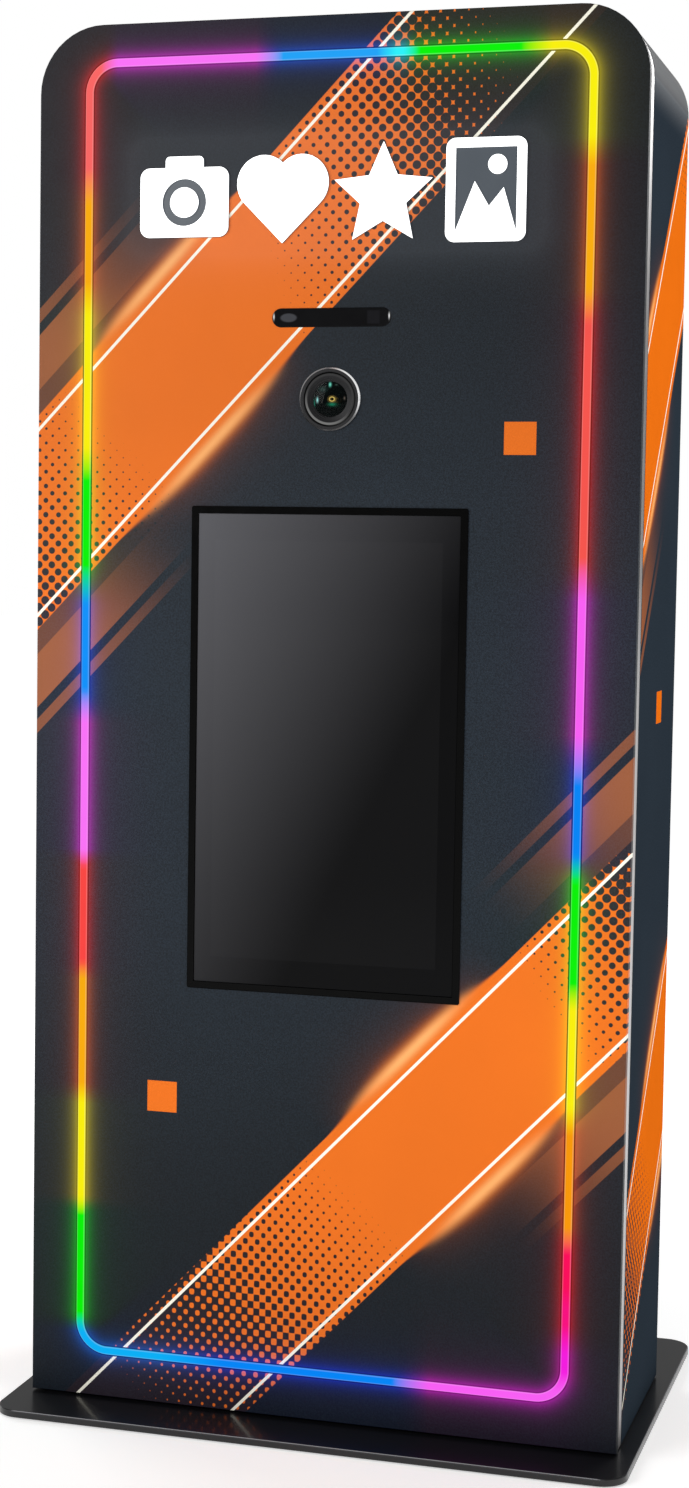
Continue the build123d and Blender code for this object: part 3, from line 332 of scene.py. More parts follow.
def spangled():
    finish = Finish("galvanised")
    where = finish.node("TexCoord", out="Object")
    cells = finish.node("TexVoronoi", {}, {"Vector": where, "Scale": SPANGLES_PER_METRE}, out="Color")
    grey = finish.node("SeparateXYZ", {}, {0: cells}, out=0)
    slow = cloud(finish, 90, detail=4.0)
    return finish.surface(Base_Color=mix(grey * 0.7 + slow * 0.3, paint("8E9294"), paint("C3C7C9")),
                          Metallic=1.0, Roughness=0.36 + grey * 0.16,
                          Normal=bumped(finish, cloud(finish, 1.5), 0.02))


looks["galvanised"] = spangled()

# %% [markdown]
# The steel base plate is powder coated in a satin black. Its top face is where shoes and mops reach, so it
# carries faint scuffs. Its rim is a little smoother and is painted a little brighter as a soft painted
# highlight, and its upper edge carries a thin painted highlight line.

# %% Base plate
plate_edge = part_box("base_plate")[1] * 1000


def plate_rim(finish, inner, outer, inner_drop, outer_drop):
    """1 on the plate's upper rim, each value being millimetres in from its edge or down from its top."""
    x, y, z = finish.place()
    long_sides = step(abs(x), plate_edge.x - inner, plate_edge.x - outer)
    short_sides = step(abs(y), plate_edge.y - inner, plate_edge.y - outer)
    return largest(long_sides, short_sides) * step(z, plate_edge.z - inner_drop, plate_edge.z - outer_drop)


def base_plate_black():
    finish = Finish("black_steel")
    slow = cloud(finish, 180, detail=5.0)
    scuff = step(cloud(finish, 4, (1, 0.12, 1), detail=5.0, seed=4.0), 0.60, 0.78)
    scuff = scuff * step(cloud(finish, 160, seed=9.0), 0.45, 0.65)
    # Painted highlight: the rim band is painted a little brighter, and it is also made a little smoother.
    rubbed = plate_rim(finish, 3.0, 0.4, 3.0, 0.5)
    # Painted highlight: a thin bright line along the upper edge.
    arris_highlight = plate_rim(finish, 1.1, 0.7, 1.1, 0.7)
    base = mix(slow, paint("0C0C0E"), paint("141417"))
    base = mix(scuff * 0.35, base, paint("3A3A3E"))
    base = mix(rubbed * 0.25, base, paint("6A6A70"))
    base = mix(arris_highlight, base, paint("C0C0C4"))
    return finish.surface(Base_Color=base, Roughness=0.28 + slow * 0.10 + scuff * 0.15 - rubbed * 0.1,
                          Metallic=arris_highlight * 0.6, Specular_IOR_Level=0.3, Coat_Weight=0.35, Coat_Roughness=0.12,
                          Normal=bumped(finish, cloud(finish, 0.9), 0.04))


looks["black_steel"] = base_plate_black()

# %% [markdown]
# The light frame is a soft tube whose colours change along it. On the real booth each stretch of the LED
# strip behind the opal diffuser has its own colour, with a short blend to the next. A colour ramp along the
# height does each side, and one along the width does the top and bottom.

# %% Colours of the light frame
LIGHT_COLOURS = {
    "red": paint("FC4844"), "rose": paint("FC6866"), "coral": paint("F8564E"), "orange": paint("FCAE0C"),
    "amber": paint("FB9A05"), "yellow": paint("FCF20A"), "green": paint("06F404"), "aqua": paint("2DF5FD"),
    "sky": paint("22A4FA"), "cyan": paint("08B1F8"), "azure": paint("1092FC"), "blue": paint("0286F8"),
    "magenta": paint("FC74FA"), "violet": paint("FA60F6"), "fuchsia": paint("F61CE2"),
    "pink": paint("FB0E81"), "crimson": paint("FC0A5C"),
}
LEFT_ZONES = [("cyan", 40, 110), ("green", 135, 285), ("yellow", 310, 450), ("orange", 480, 635),
              ("red", 660, 800), ("magenta", 825, 1010), ("azure", 1055, 1180), ("green", 1235, 1360),
              ("yellow", 1405, 1590), ("orange", 1640, 1750), ("rose", 1800, 1990)]
RIGHT_ZONES = [("violet", 40, 95), ("fuchsia", 125, 150), ("pink", 190, 215), ("crimson", 245, 295),
               ("amber", 330, 460), ("yellow", 500, 635), ("green", 670, 815), ("blue", 850, 950),
               ("violet", 1015, 1200), ("coral", 1255, 1575), ("orange", 1620, 1785), ("yellow", 1825, 1990)]
TOP_ZONES = [("rose", -400, -345), ("magenta", -320, -115), ("sky", -75, 60), ("aqua", 88, 98),
             ("green", 120, 262), ("yellow", 305, 400)]
BOTTOM_ZONES = [("cyan", -400, -240), ("blue", -140, 115), ("violet", 168, 400)]
SIDE_SPAN = (40, 1990)
END_SPAN = (-400, 400)


def zone_ramp(along, zones, span):
    """The colour at a place along one side of the frame."""
    low, high = span
    stops = []
    for name, start, end in zones:
        stops += [((p - low) / (high - low), LIGHT_COLOURS[name]) for p in (start, end)]
    return along.finish.node("ValToRGB", {"stops": stops}, {0: (along - low) / (high - low)})


light_low, light_high = (v * 1000 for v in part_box("led_diffuser"))
light_half_x = (light_high.x - light_low.x) / 2
light_mid_z = (light_high.z + light_low.z) / 2
light_half_z = (light_high.z - light_low.z) / 2
LIGHT_CORNER = 48.3
LIGHT_WIDTH = 12.6
CORNER_BLEND = 12.0
print("light frame", round(light_half_x * 2), "by", round(light_half_z * 2), "mm")


def frame_light(finish):
    """The colour of the light frame nearest to a point."""
    x, _, z = finish.place()
    left = zone_ramp(z, LEFT_ZONES, SIDE_SPAN)
    sides = mix(step(x, -1.0, 1.0), left, zone_ramp(z, RIGHT_ZONES, SIDE_SPAN))
    gap_side = light_half_x - abs(x)
    gap_top = light_mid_z + light_half_z - z
    gap_bottom = z - (light_mid_z - light_half_z)
    near_top = step(gap_side - gap_top, -CORNER_BLEND, CORNER_BLEND)
    near_bottom = step(gap_side - gap_bottom, -CORNER_BLEND, CORNER_BLEND)
    upper = mix(near_top, sides, zone_ramp(x, TOP_ZONES, END_SPAN))
    return mix(near_bottom, upper, zone_ramp(x, BOTTOM_ZONES, END_SPAN))


def from_tube(finish):
    """Distance from the middle line of the glowing tube, on the front."""
    x, _, z = finish.place()
    outside = distance_to_box(x, z - light_mid_z, light_half_x, light_half_z, LIGHT_CORNER)
    return abs(outside + LIGHT_WIDTH / 2)


def opal_diffuser():
    finish = Finish("opal_diffuser")
    soft = cloud(finish, 35, detail=2.0)
    half_wide = LIGHT_WIDTH / 2
    place = from_tube(finish)
    # Painted highlight along the pale rims of the tube, and painted shadow in the dark groove at its very
    # edge.
    painted_highlight_rim = window(place, half_wide - 1.8, half_wide - 0.6, 0.4)
    painted_shadow_edge = step(place, half_wide - 0.7, half_wide - 0.1)
    bright = tint(frame_light(finish), shade(soft, WHITE, 0.05))
    bright = mix(painted_highlight_rim * 0.10, bright, WHITE)
    bright = mix(painted_shadow_edge * 0.85, bright, (0.004, 0.004, 0.004, 1))
    return finish.surface(Base_Color=mix(soft, paint("060606"), paint("0A0A0A")), Roughness=0.5,
                          Emission_Color=bright, Emission_Strength=1.0, Specular_IOR_Level=0.0,
                          Normal=bumped(finish, cloud(finish, 0.7), 0.01))


def lit_channel():
    """The black channel that holds the diffuser, with painted glow from the tube on its thin walls."""
    finish = Finish("lit_channel")
    # Painted light: the tube's colours glow faintly on the channel walls.
    deep = finish.node("Gamma", {}, {"Color": frame_light(finish), "Gamma": 2.4})
    slow = cloud(finish, 20, detail=3.0)
    return finish.surface(Base_Color=shade(slow, (0.006, 0.006, 0.006), 0.2), Roughness=0.5 + slow * 0.1,
                          Specular_IOR_Level=0.1, Emission_Color=deep, Emission_Strength=0.22,
                          Normal=bumped(finish, cloud(finish, 0.7), 0.01))


looks["opal_diffuser"] = opal_diffuser()
looks["lit_channel"] = lit_channel()

# %% [markdown]
# The sign is cut from opal acrylic and lit from behind. The fronts of the shapes glow white, and the lines
# engraved into them are filled with dark paint, so a shape reads as a camera, a heart, a star or a picture.

# %% Sign
ENGRAVED_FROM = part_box("sign_symbols")[0].y * 1000 + 1.2


def sign_acrylic():
    finish = Finish("sign_acrylic")
    _, y, _ = finish.place()
    soft = cloud(finish, 60, detail=2.0)
    engraved = step(y, ENGRAVED_FROM, ENGRAVED_FROM + 0.7)
    face = mix(soft, paint("F4F6F8"), paint("FFFFFF"))
    return finish.surface(Base_Color=mix(engraved, face, paint("23282E")), Roughness=0.28 + soft * 0.1,
                          Emission_Color=mix(engraved, face, paint("3A4046")), Emission_Strength=1.0,
                          Normal=bumped(finish, cloud(finish, 0.8), 0.01))


looks["sign_acrylic"] = sign_acrylic()

# %% [markdown]
# A printed film wraps the front board and the folded shell. It is a dark blue-black with two broad orange
# bands at a slant. Each band has a fine white line near both edges, a dot screen that eats the orange away
# at its ends, soft airbrushed edges in its middle, and a group of pale ghost stripes beside it. The print
# is worked out on two axes, one along the band and one across it.

# %% The dot screen, the bands and the ghost stripes
INK_DARK = paint("171F27")
INK_SIDE = paint("2A333C")
INK_ORANGE = paint("EA7014")
INK_PEACH = paint("FFBE76")
INK_LINE = paint("FFFBEA")
INK_GHOST = paint("B4683A")
SLANT = math.radians(46.2)
SOFT_PITCH = 18.0
ROUND_PITCH = 19.8
DOT_ROW = 20.6
LINE_HALF = 2.1
BAND_MARGIN = 14.0
GHOST_STRIPES = [(0, 25, 0.34), (25, 79, 0.78), (91, 105, 0.55)]


def soft_dots(h, v, tone):
    """A screen that turns from dark dots through a checker into orange dots, as tone goes from 0 to 1."""
    across = h.math("COSINE", h * (2 * math.pi / SOFT_PITCH))
    down = v.math("COSINE", v * (2 * math.pi / DOT_ROW))
    return step(across * down * 0.5 + 0.5, 0.94 - tone, 1.06 - tone)


def round_dots(h, v, radius):
    """A staggered screen of round dark dots that leave small orange stars once they touch."""
    across = h.math("PINGPONG", h, ROUND_PITCH / 2)
    down = v.math("PINGPONG", v, DOT_ROW / 2)
    over = across - ROUND_PITCH / 2
    under = down - DOT_ROW / 2
    near = smallest((across * across + down * down) ** 0.5, (over * over + under * under) ** 0.5)
    return step(radius - near, -0.5, 0.5) * step(radius, 0.4, 1.0)


def beyond(over, lines, side):
    """How far a point is past the upper edge of a band, or past the lower one when side is -1."""
    edge = lines[1] + BAND_MARGIN if side > 0 else lines[0] - BAND_MARGIN
    return (over - edge) * side


def ghost_share(away, along, start, end, streaks):
    """How much of the pale ghost stripes shows, fading along the band from start to end."""
    stripes = sum(window(away, first, last, 0.6) * strength for first, last, strength in GHOST_STRIPES)
    return stripes * step(along, start, end) ** 1.4 * (0.75 + streaks * 0.25)


def print_band(base, h, v, lines, dots, glows, ghosts, slant=SLANT):
    """Prints one band over a base colour. lines are its two white lines, measured across the slant."""
    along = h * math.cos(slant) + v * math.sin(slant)
    over = v * math.cos(slant) - h * math.sin(slant)
    streaks = cloud(h.finish, 30, (0.2, 0.2, 0.2), detail=3.0, seed=5.0)
    for side, start, end in ghosts:
        base = mix(ghost_share(beyond(over, lines, side), along, start, end, streaks), base, INK_GHOST)
    ink = window(over, lines[0] - BAND_MARGIN, lines[1] + BAND_MARGIN, 0.5)
    for side, centre, half in glows:
        away = beyond(over, lines, side)
        swell = 1 - step(abs(along - centre), half * 0.15, half)
        sprayed = bell(away / (swell * 15 + 0.6)) * 0.9 + fading(away, 22.0) * swell * 0.21
        ink = largest(ink, sprayed * step(away, -1.0, 0.0))
    holes = dots[0]
    for dark in dots[1:]:
        holes = largest(holes, dark)
    base = mix(ink * (1 - holes * 0.985), base, shade(streaks, INK_ORANGE, 0.05))
    for side, centre, half in glows:
        ridge = bell((beyond(over, lines, side) - 5) / 8.0)
        swell = 1 - step(abs(along - centre), half * 0.1, half * 0.8)
        base = mix(ridge * swell * 0.75, base, INK_PEACH)
    for line in lines:
        base = mix(1 - step(abs(over - line), LINE_HALF - 0.4, LINE_HALF + 0.4), base, INK_LINE)
    return base


def print_square(base, h, v, centre_h, centre_v, half=22.5):
    """A plain orange square."""
    across = window(h, centre_h - half, centre_h + half, 0.4)
    return mix(across * window(v, centre_v - half, centre_v + half, 0.4), base, INK_ORANGE)


def film_grain(finish):
    """The fine salt and pepper of the printed film."""
    return step(cloud(finish, 2.4, detail=2.0, seed=1.0), 0.25, 0.75)


# %% [markdown]
# The front carries both bands, two small orange squares, and the spill of the light frame and of the sign
# on the satin film around them. The spill is light on the surface, so it is emission that falls off with
# the distance from the frame. A dot screen's dots grow steadily in one direction, so their radius is a
# plain slope in x and z. The back of the board is bare fibreboard.

# %% Front board
board_low, board_high = (v * 1000 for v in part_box("front_fascia"))
SIGN_MIDDLE = 1756
SIGN_HALF = (300, 82)
SIGN_CORNER = 30


def board_print(finish, speckle):
    """The dark ink, lighter at mid height as painted light, with both bands and both squares on it, and all
    of it darker towards the top as painted shade.
    """
    x, _, z = finish.place()
    # Painted light: the ink is lighter at mid height.
    painted_midheight_light = step(z, 150.0, 850.0) * (1 - step(z, 1250.0, 1850.0))
    grain = cloud(finish, 260, detail=3.0) * 0.35 + speckle * 0.65
    grain = mix(grain, (0.35, 0.35, 0.35, 1), (1.6, 1.6, 1.6, 1))
    base = tint(mix(painted_midheight_light, paint("11181E"), paint("1B242D")), grain)
    base = print_band(
        base, x, z, lines=(1120.3, 1305.6),
        dots=[round_dots(x, z, (x * 0.95 + z * 0.31 - 410) * 0.0235),
              round_dots(x, z, 20.1 - x * 0.0145 - z * 0.017)],
        glows=[(1, 1010, 190), (-1, 900, 210)],
        ghosts=[(1, 1130, 830), (-1, 800, 520)])
    base = print_band(
        base, x, z, lines=(101.0, 274.4),
        dots=[soft_dots(x, z, (290 - x * 0.65 - z * 0.76) / 430),
              round_dots(x, z, x * 0.032 + z * 0.021 - 23.3)],
        glows=[(1, 500, 190), (-1, 450, 190)],
        ghosts=[(1, 700, 1000), (-1, 400, 640)])
    base = print_square(base, x, z, 271.5, 1419.5)
    base = print_square(base, x, z, -238, 469.5)
    # Painted shade: the whole front is darkened towards the top.
    return mix(step(z, 1000.0, 1500.0) * 0.22, base, BLACK)


def board_spill(finish):
    """The light that the frame and the sign throw on the film round them."""
    x, y, z = finish.place()
    gap = largest(from_tube(finish) - LIGHT_WIDTH / 2, 0.0)
    share = fading(gap, 7.5) * 0.36 + fading(gap, 34.0) * 0.03
    deep = finish.node("Gamma", {}, {"Color": frame_light(finish), "Gamma": 2.2})
    sign_gap = largest(distance_to_box(x, z - SIGN_MIDDLE, *SIGN_HALF, SIGN_CORNER), 0.0)
    light = add_light(lit_by(share, deep), lit_by(fading(sign_gap, 26.0) * 0.025, paint("E8F0FF")))
    front = 1 - step(y, board_low.y + 0.4, board_low.y + 0.8)
    return lit_by(front, light)


def wrapped_board():
    finish = Finish("wrapped_board")
    _, y, _ = finish.place()
    speckle = film_grain(finish)
    fibres = mix(cloud(finish, 3.0, detail=5.0, seed=6.0), paint("6B543A"), paint("8F7350"))
    bare_back = step(y, board_high.y - 0.4, board_high.y - 0.1)
    return finish.surface(Base_Color=mix(bare_back, board_print(finish, speckle), fibres),
                          Roughness=0.50 + (cloud(finish, 30, seed=2.0) - 0.5) * 0.08,
                          Specular_IOR_Level=0.16, Emission_Color=board_spill(finish), Emission_Strength=1.0,
                          Normal=bumped(finish, speckle, 0.05))


looks["wrapped_board"] = wrapped_board()

# %% [markdown]
# The shell's sides carry the same two bands, the upper one a little steeper, and one more square. The left
# side repeats the right one, because the print is worked out on depth and height alone. The rolled top is
# plain dark film with a faint sheen, and the inner faces are bare grey sheet.

# %% Sides and top of the shell
shell_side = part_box("side_panel_right")[1].x * 1000
ROOF_FROM = 1900.0
SHEEN_FROM = 1860.0


def side_print(finish, speckle):
    """The side's dark ink with both bands and the square on it."""
    _, y, z = finish.place()
    base = shade(cloud(finish, 260, detail=3.0) * 0.5 + speckle * 0.5, INK_SIDE, 0.35)
    base = print_band(
        base, y, z, lines=(992.0, 1168.0), slant=math.radians(48.0),
        dots=[round_dots(y, z, (y * 0.55 + z * 0.83 - 1490) / 40)],
        glows=[(1, 1030, 200), (-1, 950, 220)], ghosts=[(-1, 1000, 700)])
    base = print_band(
        base, y, z, lines=(180.0, 372.0), slant=math.radians(46.0),
        dots=[soft_dots(y, z, (260 - y * 0.69 - z * 0.72) / 330)],
        glows=[(1, 420, 190), (-1, 330, 190)], ghosts=[])
    return print_square(base, y, z, -12, 1045, half=23)


def wrapped_sheet():
    finish = Finish("wrapped_sheet")
    x, _, z = finish.place()
    slow = cloud(finish, 260, detail=3.0)
    speckle = film_grain(finish)
    outside = step(abs(x), shell_side - 0.3, shell_side - 0.1)
    inside = (1 - outside) * (1 - step(z, ROOF_FROM, ROOF_FROM + 2))
    base = mix(outside, shade(slow, INK_DARK, 0.28), side_print(finish, speckle))
    base = mix(inside, base, shade(slow, paint("5A5E61"), 0.15))
    sheen = step(z, SHEEN_FROM, 1985.0)
    return finish.surface(Base_Color=base, Roughness=0.60 + (cloud(finish, 30, seed=2.0) - 0.5) * 0.08,
                          Specular_IOR_Level=0.0, Coat_Weight=sheen * 0.5, Coat_Roughness=0.3,
                          Normal=bumped(finish, speckle, 0.05))


looks["wrapped_sheet"] = wrapped_sheet()

# %% [markdown]
# The touch screen is off, so it is a sheet of black glass. The picture area behind the glass is a shade
# lighter than the printed border around it, and a painted reflection makes the glass brightest towards its
# upper left.

# %% Screen glass
glass_low, glass_high = (v * 1000 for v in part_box("touch_glass"))
panel_low, panel_high = (v * 1000 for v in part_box("display_panel"))


PRINTED_BORDER = 18


def cover_glass():
    finish = Finish("cover_glass")
    x, _, z = finish.place()
    smear = cloud(finish, 90, (1, 1, 0.5), detail=4.0)
    picture = (window(x, panel_low.x + PRINTED_BORDER, panel_high.x - PRINTED_BORDER, 0.5)
               * window(z, panel_low.z + PRINTED_BORDER, panel_high.z - PRINTED_BORDER, 0.5))
    # Painted reflection: the glass is brighter towards its upper left.
    rise = (z - glass_low.z) / (glass_high.z - glass_low.z)
    lean = (glass_high.x - x) / (glass_high.x - glass_low.x)
    bright = largest(rise * 0.6 + lean * 0.7 - 0.45, 0.0) ** 1.3
    border = mix(bright, paint("070708"), paint("606064"))
    inner = mix(bright, paint("0E0E0F"), paint("616165"))
    return finish.surface(Base_Color=mix(picture, border, inner), Roughness=0.06 + (smear - 0.5) * 0.05,
                          Specular_IOR_Level=0.05, Normal=bumped(finish, smear, 0.01))


looks["cover_glass"] = cover_glass()

# %% [markdown]
# The sensor window is a pill of smoked acrylic. The eye of the sensor shows through it as a grey oval, and
# the square of the emitter as a patch a little darker than the rest. Small painted highlights sit at both
# rounded ends.

# %% Sensor window
window_low, window_high = (v * 1000 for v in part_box("sensor_window"))
window_z = (window_low.z + window_high.z) / 2


EYE_X = -62
EMITTER = (52, 70)
PAINTED_GLINT_X = 83.5


def smoked_window():
    finish = Finish("smoked_window")
    x, _, z = finish.place()
    up = z - window_z
    eye_h = (x - EYE_X) / 13.0
    eye_v = up / 6.5
    eye = 1 - step((eye_h * eye_h + eye_v * eye_v) ** 0.5, 0.75, 1.05)
    emitter = window(x, *EMITTER, 1.5) * window(up, -9, 9, 1.5)
    smear = cloud(finish, 25, detail=3.0)
    base = mix(eye, shade(smear, (0.0045, 0.0045, 0.005), 0.3), paint("3C3D41"))
    base = mix(emitter * 0.6, base, paint("1C1C1F"))
    # Painted highlights: two small white spots at the rounded ends.
    painted_glints = spot(x, up, PAINTED_GLINT_X, 1.5, 0.9, 3.6) + spot(x, up, -PAINTED_GLINT_X, 1.5, 0.9, 3.6)
    return finish.surface(Base_Color=base, Roughness=0.07 + smear * 0.03, Specular_IOR_Level=0.08,
                          Emission_Color=lit_by(painted_glints, WHITE), Emission_Strength=0.9,
                          Normal=bumped(finish, smear, 0.004))


looks["smoked_window"] = smoked_window()

# %% [markdown]
# The ring round the lens has a bright polished rim and a black inner step, and the lens front is coated
# glass: almost black. The rim carries a painted highlight at its upper right and painted shade below, and the
# front flank of the black nose ring carries a painted highlight, palest below and to the left. Coated glass
# shows its surroundings as small coloured glints, green where the outer layer throws them back and gold where
# the iris ring does; here they are painted reflections that sit at fixed places round the lens axis.

# %% Lens metals and glass
LENS_Z = (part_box("front_element")[0].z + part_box("front_element")[1].z) * 500
RING_RIM = (41.8, 42.3)
NOSE_STEP = (25.4, 32.4)
NOSE_FLANK = (32.6, 35.8)
NOSE_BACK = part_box("lens_front_ring")[1].y * 1000


def round_lens(finish):
    """Radius from the lens axis, and how far to the right and up of it a point is."""
    x, _, z = finish.place()
    up = z - LENS_Z
    return (x * x + up * up) ** 0.5, x, up


def dark_chrome():
    finish = Finish("dark_chrome")
    radius, right, up = round_lens(finish)
    slow = cloud(finish, 12, detail=3.0)
    rim = step(radius, *RING_RIM)
    # Painted shade: the lower part of the rim is darkened.
    lower = 1 - step(up / radius, -0.7, 0.1)
    bright = mix(lower * 0.88, shade(slow, (0.72, 0.72, 0.73), 0.15), (0.02, 0.02, 0.02, 1))
    # Painted highlight: bright at the upper right of the rim, faint at its upper left.
    strong = step((right * 0.80 + up * 0.60) / radius, 0.55, 1.0)
    faint = step((right * -0.72 + up * 0.69) / radius, 0.60, 1.0)
    painted_rim_highlight = (strong + faint * 0.25) * rim
    turned = radius.math("SINE", radius * 9.0) * 0.5 + 0.5
    return finish.surface(Base_Color=mix(rim, (0.012, 0.012, 0.013, 1), bright), Metallic=rim,
                          Emission_Color=lit_by(painted_rim_highlight, (0.6, 0.6, 0.6, 1)), Emission_Strength=1.0,
                          Roughness=0.30 - rim * 0.16 + slow * 0.08, Specular_IOR_Level=0.2,
                          Normal=bumped(finish, turned, 0.003))


def lens_black():
    """Black anodised rings, whose front flank carries a painted highlight, palest below and to the left, with
    faint painted highlights on the stepped grooves.
    """
    finish = Finish("lens_black")
    radius, right, up = round_lens(finish)
    _, y, _ = finish.place()
    slow = cloud(finish, 140, detail=4.0, seed=3.0)
    # Painted highlights: the front flank glows palest below and to the left, and the grooved steps glow
    # faintly.
    below = step((right * -0.45 - up * 0.89) / radius, 0.0, 1.0)
    flank = window(radius, *NOSE_FLANK, 0.6) * (0.08 + below * 0.46)
    painted_groove_highlights = window(radius, *NOSE_STEP, 0.4) * (radius.math("SINE", radius * 5.0) * 0.5 + 0.5) * 0.03
    front = 1 - step(y, NOSE_BACK - 0.4, NOSE_BACK - 0.1)
    return finish.surface(Base_Color=shade(slow, (0.010, 0.010, 0.011), 0.12), Roughness=0.24 + slow * 0.1,
                          Emission_Color=lit_by((flank + painted_groove_highlights) * front, paint("969694")),
                          Emission_Strength=1.0, Specular_IOR_Level=0.09,
                          Normal=bumped(finish, cloud(finish, 0.4), 0.01))


LENS_GLINTS = [
    ((-0.5, 20.4), (1.5, 2.6), paint("6FD8C0")), ((8.5, 20.0), (1.6, 1.0), paint("33443E")),
    ((-11.0, 14.0), (5.4, 3.6), paint("1C302D")), ((-18.6, -1.0), (1.1, 3.0), paint("9FE6E4")),
    ((-23.0, -6.0), (0.9, 5.5), paint("1C6A58")), ((20.6, 1.5), (0.9, 1.9), paint("5C544C")),
    ((3.0, -7.0), (5.0, 2.2), paint("12694C")),
]
IRIS_GLINT = (3.0, 0.2)
IRIS_WIDTH = 1.25


def lens_glass():
    finish = Finish("lens_glass")
    _, right, up = round_lens(finish)
    slow = cloud(finish, 9, detail=2.0)
    # Painted reflections: coloured glints at fixed places, and a gold ring round the iris.
    painted_reflections = lit_by(slow * 0.2, (0.002, 0.004, 0.004, 1))
    for place, size, colour in LENS_GLINTS:
        painted_reflections = add_light(painted_reflections, lit_by(spot(right, up, *place, *size), colour))
    over_h = (right - IRIS_GLINT[0]) / IRIS_WIDTH
    over_v = up - IRIS_GLINT[1]
    away = (over_h * over_h + over_v * over_v) ** 0.5
    painted_reflections = add_light(painted_reflections, lit_by(window(away, 2.3, 3.5, 0.5), paint("C8AE5C")))
    painted_reflections = add_light(painted_reflections, lit_by(window(away, 4.6, 5.2, 0.5) * 0.4, paint("8C7438")))
    base = mix(slow, (0.0012, 0.0016, 0.0016, 1), (0.002, 0.003, 0.003, 1))
    return finish.surface(Base_Color=base, Roughness=0.04 + slow * 0.02, Alpha=0.72 + slow * 0.1,
                          Specular_IOR_Level=0.05, Emission_Color=painted_reflections, Emission_Strength=1.2,
                          Normal=bumped(finish, slow, 0.002))


looks["dark_chrome"] = dark_chrome()
looks["lens_black"] = lens_black()
looks["lens_glass"] = lens_glass()

# %% [markdown]
# A circuit board is green lacquer over copper tracks. Fine lines in two directions, cut up by a coarse
# checker, pass for tracks at the distance from which the boards are ever seen.

# %% Circuit boards
PATCHES_PER_METRE = 90.0
TRACK_TURN = 2.6


def circuit_board():
    finish = Finish("circuit_board")
    x, _, z = finish.place()
    where = finish.node("TexCoord", out="Object")
    patches = finish.node("TexVoronoi", {"distance": "CHEBYCHEV"},
                          {"Vector": where, "Scale": PATCHES_PER_METRE}, out="Color")
    pick = finish.node("SeparateXYZ", {}, {0: patches}, out=0)
    across = step(x.math("SINE", (x + z) * TRACK_TURN), 0.55, 0.75)
    down = step(z.math("SINE", (z - x) * TRACK_TURN), 0.55, 0.75)
    choose = step(pick, 0.49, 0.51)
    track = across * choose + down * (1 - choose)
    base = mix(track, paint("0B3A22"), paint("1B6A40"))
    return finish.surface(Base_Color=base, Roughness=0.32 + pick * 0.1, Normal=bumped(finish, track, 0.03))


looks["circuit_board"] = circuit_board()

# %% [markdown]
# Every CAD part names its finish in the record by slot. Assigning by slot means that no part is missed, and
# the loop stops if the record has a slot that the lesson has no finish for. Only the channel of the light
# frame differs: its walls stand beside the glowing tube and carry its colours as painted light.

# %% Give every part its finish
slot_of = {part["node"]: part["material_slot"] for part in frame["record"]["subparts"]}
lit_parts = {"led_channel": "lit_channel"}
for name, node in frame["nodes"].items():
    node.data.materials.clear()
    node.data.materials.append(looks[lit_parts.get(name, slot_of[name])])
print("finished", len(frame["nodes"]), "parts")

# %% [markdown]
# Some parts are too small for the CAD but show through the lens or the open door. They are built here from
# rings, boxes and screw heads. A ring is an outline of radius and depth spun once round the lens axis. A box
# has its edges bevelled, and a socket is a box whose outer face is inset and pushed in, as a pressed
# connector shell is.

# %% Tools for small parts
MM = 0.001


def new_part(name, shape, slot, body):
    """Turns a bmesh into a part that rides on a CAD body and takes its finish from a slot."""
    bmesh.ops.remove_doubles(shape, verts=shape.verts, dist=1e-6)
    bmesh.ops.recalc_face_normals(shape, faces=shape.faces)
    mesh = bpy.data.meshes.new(name)
    shape.to_mesh(mesh)
    shape.free()
    mesh.materials.append(looks[slot])
    for face in mesh.polygons:
        face.use_smooth = True
    mesh.set_sharp_from_angle(angle=math.radians(32))
    part = bpy.data.objects.new(name, mesh)
    bpy.context.scene.collection.objects.link(part)
    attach(part, body)
    print(name, len(mesh.polygons), "faces on", body)


def spun_ring(shape, outline, axis, turns=64):
    """Spins an outline of (radius, depth), both in millimetres, about the lens axis."""
    corners = [shape.verts.new((axis.x + radius * MM, depth * MM, axis.z)) for radius, depth in outline]
    edges = [shape.edges.new(pair) for pair in zip(corners, corners[1:] + corners[:1])]
    bmesh.ops.spin(shape, geom=corners + edges, cent=axis, axis=(0, 1, 0), angle=2 * math.pi,
                   steps=turns, use_merge=True)


def add_block(shape, low, high):
    """A sharp-edged block between two corners in metres, as the list of its faces."""
    place = Matrix.Translation((low + high) / 2) @ Matrix.Diagonal((*(high - low), 1.0))
    made = bmesh.ops.create_cube(shape, size=1.0, matrix=place)
    return list({face for corner in made["verts"] for face in corner.link_faces})


def rearmost(faces):
    """The face that looks out of the open door."""
    return max(faces, key=lambda face: face.calc_center_median().y)


def add_box(shape, low, high, bevel=0.4):
    """A block whose edges are bevelled by so many millimetres."""
    faces = add_block(shape, low, high)
    edges = list({edge for face in faces for edge in face.edges})
    bmesh.ops.bevel(shape, geom=edges, affect="EDGES", offset=bevel * MM, segments=2, profile=0.5,
                    material=-1)


def add_socket(shape, middle, wide, tall, deep, wall=1.0, proud=1.6):
    """A connector shell that faces +Y: a block whose outer face is inset by its wall and pushed in."""
    half = Vector((wide / 2, 0, tall / 2)) * MM
    outer = rearmost(add_block(shape, middle - half, middle + half + Vector((0, proud * MM, 0))))
    bmesh.ops.inset_region(shape, faces=[outer], thickness=wall * MM, use_even_offset=True)
    bmesh.ops.translate(shape, verts=outer.verts, vec=(0, -deep * MM, 0))


